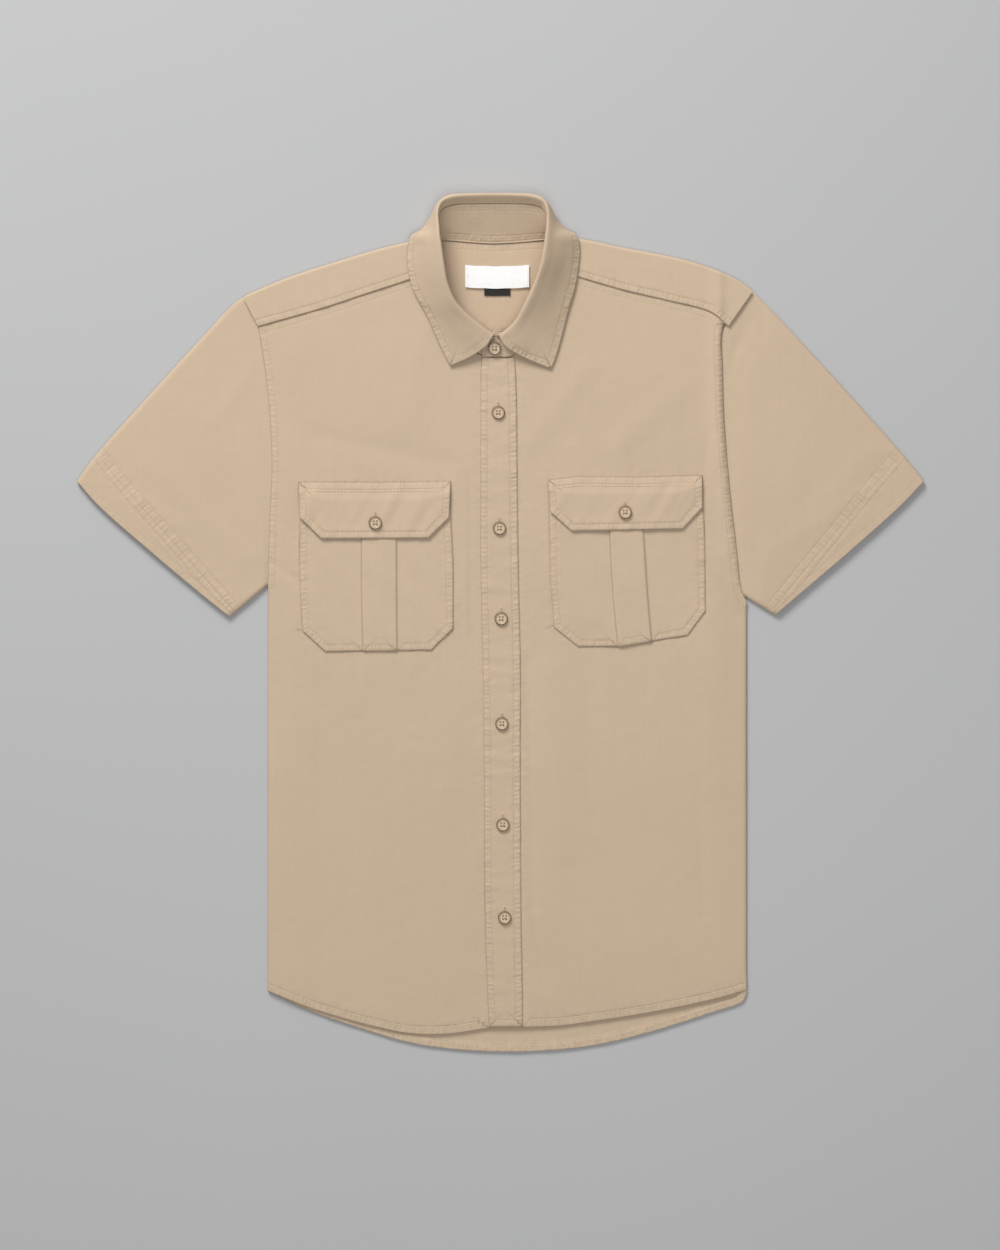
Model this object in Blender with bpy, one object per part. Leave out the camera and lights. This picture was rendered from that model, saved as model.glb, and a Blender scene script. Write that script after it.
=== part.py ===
"""A short-sleeved button-up shirt, laid flat on its back with its collar standing.

The tables are in millimetres. X runs to the wearer's left, Y towards the collar and Z up.
The back panel, the lower layers of the sleeves and the collar's fallen edge lie on Z = 0.
Each cloth piece is a wall between two grids of points, its outer and its inner surface.
"""

import math

import bmesh
import bpy
import numpy as np
from mathutils import Matrix, Vector

MM = 0.001

# Cloth
CLOTH = 1.0
COLLAR_CLOTH = 1.2
SEAM = 0.3
BODY_TOP = 4.3
HEM_BAND_WIDTH = 6.5
HEM_BAND_TOP = 1.8
YOKE_LAP = 3.0
YOKE_GAP = 0.45
YOKE_ROLL = 3.0

# Body: the folded sides, the hems and the seams, x and y
RIGHT_SIDE_X = -218.5
LEFT_SIDE_X = 231.2
BACK_SEAM_Y = 268.3
BACK_HEM = [
    (-218.5, -346.6), (-180.9, -364.0), (-133.9, -380.4), (-79.4, -395.9), (-17.4, -402.7),
    (38.7, -402.4), (87.2, -397.3), (135.8, -386.1), (200.6, -365.8), (227.0, -356.4), (231.2, -348.8),
]
FRONT_HEM_RIGHT = [
    (-218.5, -346.1), (-180.9, -361.0), (-134.1, -375.0), (-87.4, -385.0), (-50.0, -385.6), (-9.5, -379.8),
    (16.2, -379.0),
]
FRONT_HEM_LEFT = [
    (17.3, -379.0), (54.9, -378.0), (87.2, -373.9), (135.8, -366.6), (200.6, -353.6), (231.2, -345.0),
]
ARMHOLE_RIGHT = [
    (-218.5, 37.8), (-217.1, 93.5), (-214.8, 147.0), (-216.7, 193.2), (-221.4, 238.3), (-227.5, 277.8),
]
ARMHOLE_LEFT = [
    (231.2, 20.0), (226.8, 29.6), (221.4, 72.8), (214.5, 136.0), (210.1, 193.2), (208.5, 244.9),
    (207.5, 263.7), (209.5, 279.8),
]
YOKE_SEAM_RIGHT = [
    (-227.5, 277.8), (-165.7, 295.3), (-126.1, 308.4), (-84.6, 322.0), (-66.1, 328.5),
]
YOKE_SEAM_LEFT = [
    (52.3, 330.4), (70.8, 325.0), (116.3, 311.8), (155.9, 302.5), (197.4, 291.3), (213.7, 278.2),
]
SHOULDER_RIGHT = [(-241.1, 306.9), (-200.7, 323.8), (-154.6, 338.9), (-102.9, 353.9), (-60.6, 361.4)]
SHOULDER_LEFT = [
    (49.0, 362.2), (75.7, 360.5), (107.6, 353.9), (180.0, 338.9), (219.5, 323.8), (236.1, 312.9),
]
NECK_BACK = [
    (-60.6, 361.4), (-56.0, 358.9), (-38.0, 357.6), (-7.0, 355.6), (27.0, 357.6), (44.5, 358.9),
    (49.0, 362.2),
]

# Height of a front's folded or rolled side above the table, y and z
SIDE_FOOT_RIGHT = [(-346.0, 2.2), (-336.0, 2.2), (-326.0, 1.35), (26.0, 1.35), (35.0, 3.5), (300.0, 3.5)]
SIDE_FOOT_LEFT = [(-346.0, 2.2), (-336.0, 2.2), (-326.0, 1.35), (12.0, 1.35), (20.0, 3.5), (300.0, 3.5)]
SIDE_ROLL = 4.0

# The loose ridge along the left armhole and over the yoke: y, x and height
ARMHOLE_RIDGE = [
    (10.0, 226.0, 0.0), (60.0, 217.0, 1.5), (110.0, 211.0, 2.5), (150.0, 207.0, 2.8), (200.0, 204.5, 2.8),
    (250.0, 203.0, 2.5), (285.0, 205.0, 1.9), (322.0, 206.0, 1.3), (345.0, 206.0, 0.6),
]
RIDGE_INNER_WIDTH = 8.0
RIDGE_OUTER_WIDTH = 4.5

# Soft folds of the fronts: start x and y, end x and y, half width, height
FRONT_FOLDS = [
    (-196.0, 250.0, -205.0, 60.0, 16.0, 0.5),
    (-60.0, 230.0, -120.0, 160.0, 30.0, 0.5),
    (-205.0, 30.0, -150.0, -120.0, 26.0, 0.4),
    (-60.0, -60.0, -40.0, -330.0, 22.0, 0.4),
    (70.0, 225.0, 150.0, 160.0, 30.0, 0.5),
    (206.0, 60.0, 196.0, -150.0, 14.0, 0.6),
    (60.0, -60.0, 110.0, -300.0, 30.0, 0.5),
    (175.0, -90.0, 165.0, -320.0, 20.0, 0.4),
]

# Sleeves: the end inside the armhole, the cuff, the underarm edge and the top fold
SLEEVE_END_RIGHT = [
    (-216.2, 37.1), (-211.5, 55.9), (-208.2, 93.5), (-206.8, 136.8), (-207.3, 171.5), (-209.6, 209.1),
    (-214.3, 244.9), (-219.0, 268.3), (-234.5, 306.0),
]
SLEEVE_CUFF_RIGHT = [(-254.3, 5.2), (-282.5, 27.7), (-330.4, 68.1), (-378.3, 110.4), (-398.1, 133.0)]
SLEEVE_TOP_RIGHT = [
    (-234.5, 306.0), (-240.5, 305.8), (-248.6, 301.3), (-282.5, 265.6), (-334.2, 209.1), (-384.0, 152.8),
    (-398.1, 133.0),
]
SLEEVE_END_LEFT = [
    (226.2, 26.0), (221.0, 47.5), (213.8, 86.9), (206.6, 133.9), (201.8, 180.9), (199.8, 218.5),
    (201.2, 246.8), (206.0, 268.3), (230.3, 311.5),
]
SLEEVE_CUFF_LEFT = [(258.0, 7.0), (296.6, 39.9), (329.5, 68.1), (376.5, 110.4), (398.1, 133.0)]
SLEEVE_TOP_LEFT = [
    (230.3, 311.5), (236.5, 310.8), (246.8, 301.3), (280.6, 265.6), (332.3, 209.1), (382.1, 152.8),
    (398.1, 133.0),
]
# Height of a flattened sleeve along its length: share of the length and z
SLEEVE_HEIGHT = [(0.0, 3.0), (0.09, 3.0), (0.18, 4.0), (0.5, 4.8), (0.86, 4.4), (0.88, 4.8), (1.0, 4.6)]
SLEEVE_ROLL = 5.0
ARMHOLE_GAP = 0.8

# Placket: its edges from the hem up, x and y
PLACKET_RIGHT_EDGE = [
    (-10.8, -379.8), (-12.3, -346.4), (-14.6, -260.8), (-15.5, -120.8), (-16.7, -37.1), (-18.7, 58.8),
    (-18.7, 143.3), (-18.7, 209.1), (-17.8, 248.7),
]
PLACKET_LEFT_EDGE = [
    (20.9, -379.8), (20.3, -327.6), (19.3, -270.2), (18.7, -120.8), (18.7, -37.1), (16.8, 49.3),
    (15.6, 143.3), (14.9, 215.7), (13.4, 248.7),
]
BUTTON_STAND_INSET = 4.6
FRONT_LEFT_INSET = 3.6
PLACKET_TOP_Y = 248.0
STAND_CORNER = (8.8, 248.7)

# Pockets and flaps, x and y; the pleat is given by its share of the width below and above
POCKETS = {
    "pocket_right": {
        "bottom": [(-185.8, -8.0), (-164.5, -27.4), (-65.0, -25.9), (-44.3, -5.6)],
        "right": [(-185.8, -8.0), (-188.5, 39.9), (-188.5, 97.3), (-188.4, 108.0)],
        "left": [(-44.3, -5.6), (-44.9, 64.7), (-46.8, 102.4), (-47.0, 108.0)],
        "pleat_below": (0.415, 0.610),
        "pleat_above": (0.415, 0.635),
    },
    "pocket_left": {
        "bottom": [
            (50.4, -4.6), (73.0, -22.8), (112.3, -22.5), (137.7, -18.4), (175.6, -12.1), (192.6, 10.5),
        ],
        "right": [(50.4, -4.6), (46.5, 39.5), (46.0, 82.2), (45.5, 112.0)],
        "left": [(192.6, 10.5), (191.9, 77.3), (190.1, 116.0)],
        "pleat_below": (0.420, 0.610),
        "pleat_above": (0.388, 0.595),
    },
}
FLAPS = {
    "flap_right": {
        "bottom": [(-188.4, 98.6), (-168.3, 79.1), (-67.6, 79.7), (-48.4, 98.6)],
        "top": [(-189.7, 132.0), (-118.0, 131.6), (-46.8, 132.6)],
    },
    "flap_left": {
        "bottom": [(46.5, 104.2), (66.7, 86.3), (171.2, 88.3), (189.4, 108.1)],
        "top": [(44.9, 133.9), (73.6, 137.2), (130.0, 136.6), (189.4, 138.3)],
    },
}
PLEAT_RAISE = 1.0
PLEAT_STEP_SHARE = 0.008
POCKET_LIFT = 0.45
FLAP_SEWN_LIFT = 0.45
FLAP_OVER_POCKET_LIFT = 2.9
FLAP_EDGE_LIFT = 3.4

# Collar stations from the right front round the back to the left front, at mid cloth:
# foot of the stand, seam of stand and leaf, roll, belly, heel and free edge of the leaf
COLLAR = [
    (
        (-5, 249.6, 4.3), (-5.6, 267, 8), (-6.3, 270, 12.8),
        (-13.5, 260, 13.2), (-27, 250.3, 9.6), (-47.1, 241.2, 6.3),
    ),
    (
        (-15, 250.9, 4.4), (-14.6, 275, 9.6), (-15.6, 275.8, 15.2),
        (-23, 268, 14.8), (-35, 258, 10.4), (-50.6, 247.8, 6.3),
    ),
    (
        (-30.5, 258.4, 4.5), (-29.2, 287.4, 13.2), (-30, 286.6, 19),
        (-38, 280.5, 17.3), (-48, 272, 11.8), (-58.3, 264, 6.4),
    ),
    (
        (-47.5, 277, 4.6), (-42.2, 301.2, 18.2), (-43.3, 300.6, 24),
        (-52, 296.5, 20.5), (-61, 291.5, 13), (-68.6, 287.5, 6.6),
    ),
    (
        (-58.5, 300, 4.7), (-49.4, 318.3, 21.8), (-50.6, 318, 27.5),
        (-59.5, 316.5, 22.8), (-71, 315, 14), (-82.5, 314, 6.9),
    ),
    (
        (-64.8, 328.5, 4.8), (-52.6, 335.2, 24.5), (-53.8, 335, 30),
        (-62.5, 335, 24.8), (-75, 335, 15.4), (-87, 335, 7.2),
    ),
    (
        (-62.4, 343, 4.8), (-55, 352, 25), (-56.2, 352, 30.5),
        (-64.5, 352, 25), (-76, 352, 16), (-87, 350, 7.2),
    ),
    (
        (-60.6, 353.5, 4.3), (-56.5, 361, 24.4), (-57.5, 361, 30),
        (-65.5, 362.2, 24), (-76.5, 363, 15.5), (-84, 362.4, 7.4),
    ),
    (
        (-59, 359.8, 2.6), (-57.4, 370.3, 22.6), (-58.2, 370.5, 28.5),
        (-66, 371, 20), (-72.8, 370, 8.5), (-74, 369, 1.5),
    ),
    (
        (-55.9, 360.6, 0.95), (-57.4, 383.5, 19.5), (-59, 385, 25),
        (-64, 383.5, 15), (-64.4, 380.5, 4), (-60, 376, 0.75),
    ),
    (
        (-49, 360.2, 0.85), (-52.6, 389.5, 16), (-55.4, 394.5, 22),
        (-57.7, 394.5, 12.5), (-56, 390.5, 2.6), (-50, 373.5, 0.65),
    ),
    (
        (-38, 359.2, 0.85), (-42, 392.6, 14.4), (-46.5, 399.2, 20),
        (-48, 400.4, 11), (-46.5, 396.8, 2), (-41, 372, 0.65),
    ),
    (
        (-24, 358.0, 0.85), (-25, 393.3, 13.4), (-26, 401, 18.7),
        (-27, 401.8, 10), (-26, 398.3, 1.7), (-24, 371.2, 0.65),
    ),
    (
        (-7, 357.2, 0.85), (-7, 393.4, 13), (-7, 401.4, 18.3),
        (-7, 402, 9.8), (-7, 398.5, 1.7), (-7, 371, 0.65),
    ),
    (
        (12, 358.0, 0.85), (12, 393.3, 13.4), (13, 401, 18.7),
        (13, 401.8, 10), (13, 398.3, 1.7), (11, 371.2, 0.65),
    ),
    (
        (27, 359.2, 0.85), (28, 392.6, 14.4), (32, 399.2, 20),
        (33.5, 400.4, 11), (32.5, 396.8, 2), (28, 372, 0.65),
    ),
    (
        (37.5, 360.2, 0.85), (38.4, 389.5, 16), (41.2, 394.2, 22),
        (43.5, 394.3, 12.5), (42, 390.5, 2.6), (37, 373.5, 0.65),
    ),
    (
        (44, 360.6, 0.95), (43, 382.8, 19.5), (44.3, 384, 25),
        (49.8, 383, 15), (50.6, 380, 4), (47, 376, 0.75),
    ),
    (
        (47.4, 359.9, 2.6), (43, 370.3, 22.6), (43.9, 370.5, 28.5),
        (51.8, 371, 20), (59.4, 370, 8.5), (61, 369, 1.5),
    ),
    (
        (48, 354, 4.3), (41.9, 361, 24.4), (42.9, 361, 30),
        (51.2, 362.2, 24), (62.5, 363, 15.5), (71.5, 362.8, 7.4),
    ),
    (
        (49.2, 345, 4.8), (40.6, 351.6, 25), (41.7, 351.5, 30.5),
        (50.3, 351.5, 25), (62.5, 351, 16), (74, 350, 7.2),
    ),
    (
        (50.9, 330.4, 4.8), (37.7, 336.3, 24.5), (38.8, 336, 30),
        (47.8, 335.5, 24.8), (60, 335, 15.4), (72.9, 335, 7.2),
    ),
    (
        (47.5, 308, 4.7), (32.2, 319.3, 21.8), (33.2, 319, 27.5),
        (42.5, 317.8, 22.8), (56, 316, 14), (69.3, 314, 6.9),
    ),
    (
        (38.5, 285, 5.0), (23.8, 301, 18.2), (24.8, 300.5, 24),
        (34.5, 298, 20.5), (49, 293, 13), (62, 288, 6.6),
    ),
    (
        (25, 262, 5.7), (14.4, 283.6, 13.4), (15.2, 283, 19),
        (25, 280, 17.3), (40.5, 272.5, 11.8), (56, 264.5, 6.4),
    ),
    (
        (10, 250.4, 6.0), (4.8, 273.8, 10.7), (5.3, 273.3, 15.6),
        (14, 266, 14.8), (32, 256.5, 10.4), (50.3, 246, 6.3),
    ),
    (
        (-3.4, 249.6, 5.9), (-3.2, 267.2, 9.7), (-2.0, 269.6, 14.2),
        (3.4, 260.5, 13.4), (20, 250.2, 9.8), (47.3, 238.6, 6.2),
    ),
]
RIGHT_YOKE_STATION = 5
LEFT_YOKE_STATION = 21
# The stand runs on past the leaf at both fronts, its left end over its right end: foot and top
STAND_UNDER_END = [((11.0, 249.9, 4.1), (9.5, 260.5, 6.3)), ((5.0, 249.6, 4.3), (4.5, 264.5, 7.5))]
STAND_OVER_END = [((-11.0, 249.6, 5.9), (-10.8, 264.0, 9.0)), ((-17.6, 249.7, 5.9), (-17.0, 258.5, 7.8))]
COLLAR_SEAM = 0.45
STAND_SLOPE = math.atan2(3.8, 17.6)

# Buttons: centre x and y
BUTTON_RADIUS = 6.25
BUTTON_THICKNESS = 2.2
BUTTON_FLOOR = 1.5
BUTTON_HOLE_RADIUS = 0.8
BUTTON_HOLE_OFFSET = 1.4
PLACKET_BUTTONS = [(-2.1, 197.1), (-1.0, 88.5), (0.7, 3.6), (1.3, -95.0), (2.2, -189.9), (3.9, -277.1)]
COLLAR_BUTTON = (-5.6, 257.6)
POCKET_BUTTONS = {"button_pocket_right": (-117.5, 93.5), "button_pocket_left": (117.0, 103.6)}

# Label and size tab inside the neck: centre x, lower and upper y
LABEL_WIDTH = 60.0
LABEL_X = -3.2
LABEL_BOTTOM = 315.0
LABEL_TOP = 336.0
LABEL_SAG = 1.2
LABEL_THICKNESS = 0.6
TAB_WIDTH = 24.5
TAB_X = -3.0
TAB_BOTTOM = 306.9
TAB_TOP = 319.0

COLOURS = {
    "twill": (0.54, 0.42, 0.30),
    "button": (0.36, 0.22, 0.12),
    "white": (0.90, 0.90, 0.89),
    "black": (0.02, 0.02, 0.02),
}
SPAN_POINTS = 12


def clear_scene():
    """Removes every object that is in the scene at the start."""
    for item in list(bpy.data.objects):
        bpy.data.objects.remove(item, do_unlink=True)


def material(name):
    """A plain finish in the named colour."""
    found = bpy.data.materials.get(name)
    if found:
        return found
    made = bpy.data.materials.new(name)
    made.use_nodes = True
    shader = made.node_tree.nodes["Principled BSDF"]
    shader.inputs["Base Color"].default_value = (*COLOURS[name], 1.0)
    shader.inputs["Roughness"].default_value = 0.45 if name == "button" else 0.9
    shader.inputs["Metallic"].default_value = 0.0
    return made


def smooth(rows):
    """Dense points on a smooth curve through the rows: cubic spans whose slopes come from the chords."""
    points = np.array(rows, float)
    chord = np.diff(points, axis=0)
    step = np.sqrt(np.linalg.norm(chord, axis=1))[:, None]
    slope = chord / step
    inner = (slope[:-1] * step[1:] + slope[1:] * step[:-1]) / (step[:-1] + step[1:])
    slopes = np.vstack([slope[:1], inner, slope[-1:]])
    t = np.linspace(0.0, 1.0, SPAN_POINTS, endpoint=False)[None, :, None]
    start, end = points[:-1, None], points[1:, None]
    leave, arrive = (slopes[:-1] * step)[:, None], (slopes[1:] * step)[:, None]
    spans = (
        (2 * t**3 - 3 * t**2 + 1) * start
        + (t**3 - 2 * t**2 + t) * leave
        + (3 * t**2 - 2 * t**3) * end
        + (t**3 - t**2) * arrive
    )
    return np.vstack([spans.reshape(-1, points.shape[1]), points[-1:]])


def along(line, shares):
    """Points of a line at the given shares of its length in plan."""
    line = np.asarray(line, float)
    run = np.concatenate([[0.0], np.cumsum(np.linalg.norm(np.diff(line[:, :2], axis=0), axis=1))])
    where = np.asarray(shares) * run[-1]
    return np.stack([np.interp(where, run, line[:, k]) for k in range(line.shape[1])], axis=-1)


def patch(bottom, top, start, end, u, v):
    """Plan points of a four-sided panel: its sides blended, u along bottom and top, v up the other two."""
    v = np.asarray(v, float)[:, None] + np.zeros_like(np.asarray(u, float))
    u = np.asarray(u, float) + np.zeros_like(v)
    sides = (1 - v)[..., None] * along(bottom, u) + v[..., None] * along(top, u)
    ends = (1 - u)[..., None] * along(start, v) + u[..., None] * along(end, v)
    corners = (
        ((1 - u) * (1 - v))[..., None] * along(bottom, 0.0)
        + (u * (1 - v))[..., None] * along(bottom, 1.0)
        + ((1 - u) * v)[..., None] * along(top, 0.0)
        + (u * v)[..., None] * along(top, 1.0)
    )
    return sides + ends - corners


def lift(plan, z):
    """Plan points with a height."""
    return np.concatenate([plan, (np.zeros(plan.shape[:-1]) + z)[..., None]], axis=-1)


def make_object(name, points, faces, finish):
    """One closed body at the origin, with its faces turned outwards."""
    corners = [points[list(face)] for face in faces]
    volume = sum(
        np.dot(c[0], np.cross(c[k], c[k + 1])) for c in corners for k in range(1, len(c) - 1)
    )
    if volume < 0:
        faces = [tuple(reversed(face)) for face in faces]
    mesh = bpy.data.meshes.new(name)
    mesh.from_pydata((points * MM).tolist(), [], faces)
    mesh.materials.append(material(finish))
    mesh.shade_smooth()
    mesh.set_sharp_from_angle(angle=math.radians(50.0))
    item = bpy.data.objects.new(name, mesh)
    bpy.context.collection.objects.link(item)
    return item


def wall(name, outer, inner, finish="twill", keep=None, ring=False):
    """A closed wall between two grids. keep marks the cells that are cloth; a ring joins its last column
    to its first."""
    rows, columns = outer.shape[:2]
    across = columns if ring else columns - 1
    keep = np.ones((rows - 1, across), bool) if keep is None else keep
    half = rows * columns
    faces = []
    edges = {}
    for i in range(rows - 1):
        for j in range(across):
            if not keep[i, j]:
                continue
            right = (j + 1) % columns
            cell = [i * columns + j, i * columns + right, (i + 1) * columns + right, (i + 1) * columns + j]
            faces.append(tuple(cell))
            faces.append(tuple(half + n for n in reversed(cell)))
            for a, b in zip(cell, cell[1:] + cell[:1]):
                if (b, a) in edges:
                    del edges[(b, a)]
                else:
                    edges[(a, b)] = True
    faces += [(b, a, half + a, half + b) for a, b in edges]
    used = sorted({n for face in faces for n in face})
    place = {n: k for k, n in enumerate(used)}
    points = np.vstack([outer.reshape(-1, 3), inner.reshape(-1, 3)])[used]
    return make_object(name, points, [tuple(place[n] for n in face) for face in faces], finish)


def front_height(x, y):
    """Upper surface of the fronts: level cloth, soft folds, the armhole ridge and the fall to the hem."""
    height = np.full(np.shape(x), BODY_TOP)
    for x0, y0, x1, y1, half_width, rise in FRONT_FOLDS:
        run = np.array([x1 - x0, y1 - y0])
        share = np.clip(((x - x0) * run[0] + (y - y0) * run[1]) / (run @ run), 0.0, 1.0)
        distance = np.hypot(x - x0 - share * run[0], y - y0 - share * run[1])
        height = height + rise * np.exp(-((distance / half_width) ** 2))
    ridge_y, ridge_x, ridge_rise = np.array(ARMHOLE_RIDGE).T
    offset = x - np.interp(y, ridge_y, ridge_x)
    width = np.where(offset < 0, RIDGE_INNER_WIDTH, RIDGE_OUTER_WIDTH)
    height = height + np.interp(y, ridge_y, ridge_rise) * np.exp(-((offset / width) ** 2))
    hem_x, hem_y = np.array(FRONT_HEM_RIGHT + FRONT_HEM_LEFT).T
    above_hem = np.clip(y - np.interp(x, hem_x, hem_y), 0.0, None)
    return height - 0.7 * np.exp(-above_hem / 12.0)


def rolled_stops(width, roll, columns):
    """Shares of a row's width for a panel rolled down at its start, outer and inner, and the sine of
    the roll's angle at each."""
    angles = np.radians([0.0, 35.0, 65.0, 90.0])
    turned = 1.0 - np.cos(angles)
    rest = roll / width + (1.0 - roll / width) * np.linspace(0.0, 1.0, columns)[1:] ** 1.5
    outer = np.concatenate([roll * turned / width, rest])
    inner = np.concatenate([(CLOTH + (roll - CLOTH) * turned) / width, rest])
    return outer, inner, np.concatenate([np.sin(angles), np.ones(columns - 1)])


def neck_edge(foot, first, last):
    """The panels' edge at the stand: the stand's foot moved out by half its cloth and the seam."""
    line = smooth(foot)[first * SPAN_POINTS:last * SPAN_POINTS + 1, :2]
    along_line = np.gradient(line, axis=0)
    along_line /= np.linalg.norm(along_line, axis=1)[:, None]
    outward = np.stack([-along_line[:, 1], along_line[:, 0]], axis=1)
    return line + outward * (COLLAR_CLOTH / 2 + SEAM)


def make_back():
    """The back panel, flat on the table, with its turned-up hem as a thicker band."""
    right_armhole = [(x + ARMHOLE_GAP, y) for x, y in SLEEVE_END_RIGHT[:-1]]
    left_armhole = [(x - ARMHOLE_GAP, y) for x, y in SLEEVE_END_LEFT[:-1]]
    right = np.vstack([[(RIGHT_SIDE_X, -346.6), (RIGHT_SIDE_X, 27.0)], smooth(right_armhole)])
    left = np.vstack([[(LEFT_SIDE_X, -348.8), (LEFT_SIDE_X, 16.0)], smooth(left_armhole)])
    top = [right_armhole[-1], left_armhole[-1]]
    band = HEM_BAND_WIDTH / np.linalg.norm(np.diff(right, axis=0), axis=1).sum()
    armhole_rows = np.concatenate([[0.588, 0.607, 0.62], np.linspace(0.65, 1.0, 9)])
    v = np.concatenate([[0.0, band, band * 1.08], np.linspace(0.1, 0.55, 4), armhole_rows])
    u = np.linspace(0.0, 1.0, 13)
    plan = patch(smooth(BACK_HEM), top, right, left, u, v)
    z = np.where(v <= band, HEM_BAND_TOP, CLOTH)[:, None]
    wall("back", lift(plan, z), lift(plan, 0.0))


def make_front(name, hem, yoke_seam, side, centre, foot_table, mirrored):
    """A front: level cloth whose outer side rolls down to the table or to the sleeve."""
    top = smooth(yoke_seam) + np.array([0.0, YOKE_LAP])
    width = np.ptp(smooth(hem)[:, 0])
    u_outer, u_inner, sine = rolled_stops(width, SIDE_ROLL, 13)
    side_length = np.linalg.norm(np.diff(side, axis=0), axis=1).sum()
    feet = [(y - side[0, 1]) / side_length for y, foot in foot_table[1:-1]]
    upper_rows = np.concatenate([np.linspace(0.64, 0.8, 5), np.linspace(0.82, 1.0, 11)])
    v = np.sort(np.concatenate([[0.0, 0.12, 0.24, 0.36, 0.48], feet, upper_rows]))
    sides = (side, centre)
    if mirrored:
        u_outer, u_inner, sine = 1.0 - u_outer[::-1], 1.0 - u_inner[::-1], sine[::-1]
        sides = (centre, side)
    grids = []
    for stops, depth in ((u_outer, 0.0), (u_inner, CLOTH)):
        plan = patch(smooth(hem), top, *sides, stops, v)
        foot = np.interp(plan[..., 1], *np.array(foot_table).T)
        level = front_height(plan[..., 0], plan[..., 1]) - depth
        grids.append(lift(plan, foot + (level - foot) * sine))
    wall(name, *grids)


def make_fronts():
    """The right front runs under the placket as the button stand, the left front under its edge."""
    right_foot = [pair[0] for pair in STAND_UNDER_END] + [station[0] for station in COLLAR]
    shift = len(STAND_UNDER_END)
    right_neck = neck_edge(right_foot, 1, RIGHT_YOKE_STATION + shift)
    stand_edge = smooth(PLACKET_LEFT_EDGE) - np.array([BUTTON_STAND_INSET, 0.0])
    centre = np.vstack([stand_edge[stand_edge[:, 1] < PLACKET_TOP_Y], [STAND_CORNER], right_neck])
    centre = np.vstack([centre, [(YOKE_SEAM_RIGHT[-1][0], YOKE_SEAM_RIGHT[-1][1] + YOKE_LAP)]])
    side = np.vstack([FRONT_HEM_RIGHT[:1], smooth(ARMHOLE_RIGHT)])
    side = np.vstack([side, [(YOKE_SEAM_RIGHT[0][0], YOKE_SEAM_RIGHT[0][1] + YOKE_LAP)]])
    make_front("front_right", FRONT_HEM_RIGHT, YOKE_SEAM_RIGHT, side, centre, SIDE_FOOT_RIGHT, False)

    left_neck = neck_edge([station[0] for station in COLLAR], LEFT_YOKE_STATION, len(COLLAR) - 2)[::-1]
    front_edge = smooth(PLACKET_LEFT_EDGE) - np.array([FRONT_LEFT_INSET, 0.0])
    left_neck = left_neck[left_neck[:, 0] > front_edge[-1, 0] + 0.5]
    centre = np.vstack([front_edge[front_edge[:, 1] < PLACKET_TOP_Y], left_neck])
    centre = np.vstack([centre, [(YOKE_SEAM_LEFT[0][0], YOKE_SEAM_LEFT[0][1] + YOKE_LAP)]])
    side = np.vstack([FRONT_HEM_LEFT[-1:], smooth(ARMHOLE_LEFT)])
    side = np.vstack([side, [(YOKE_SEAM_LEFT[-1][0], YOKE_SEAM_LEFT[-1][1] + YOKE_LAP)]])
    make_front("front_left", FRONT_HEM_LEFT, YOKE_SEAM_LEFT, side, centre, SIDE_FOOT_LEFT, True)


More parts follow.
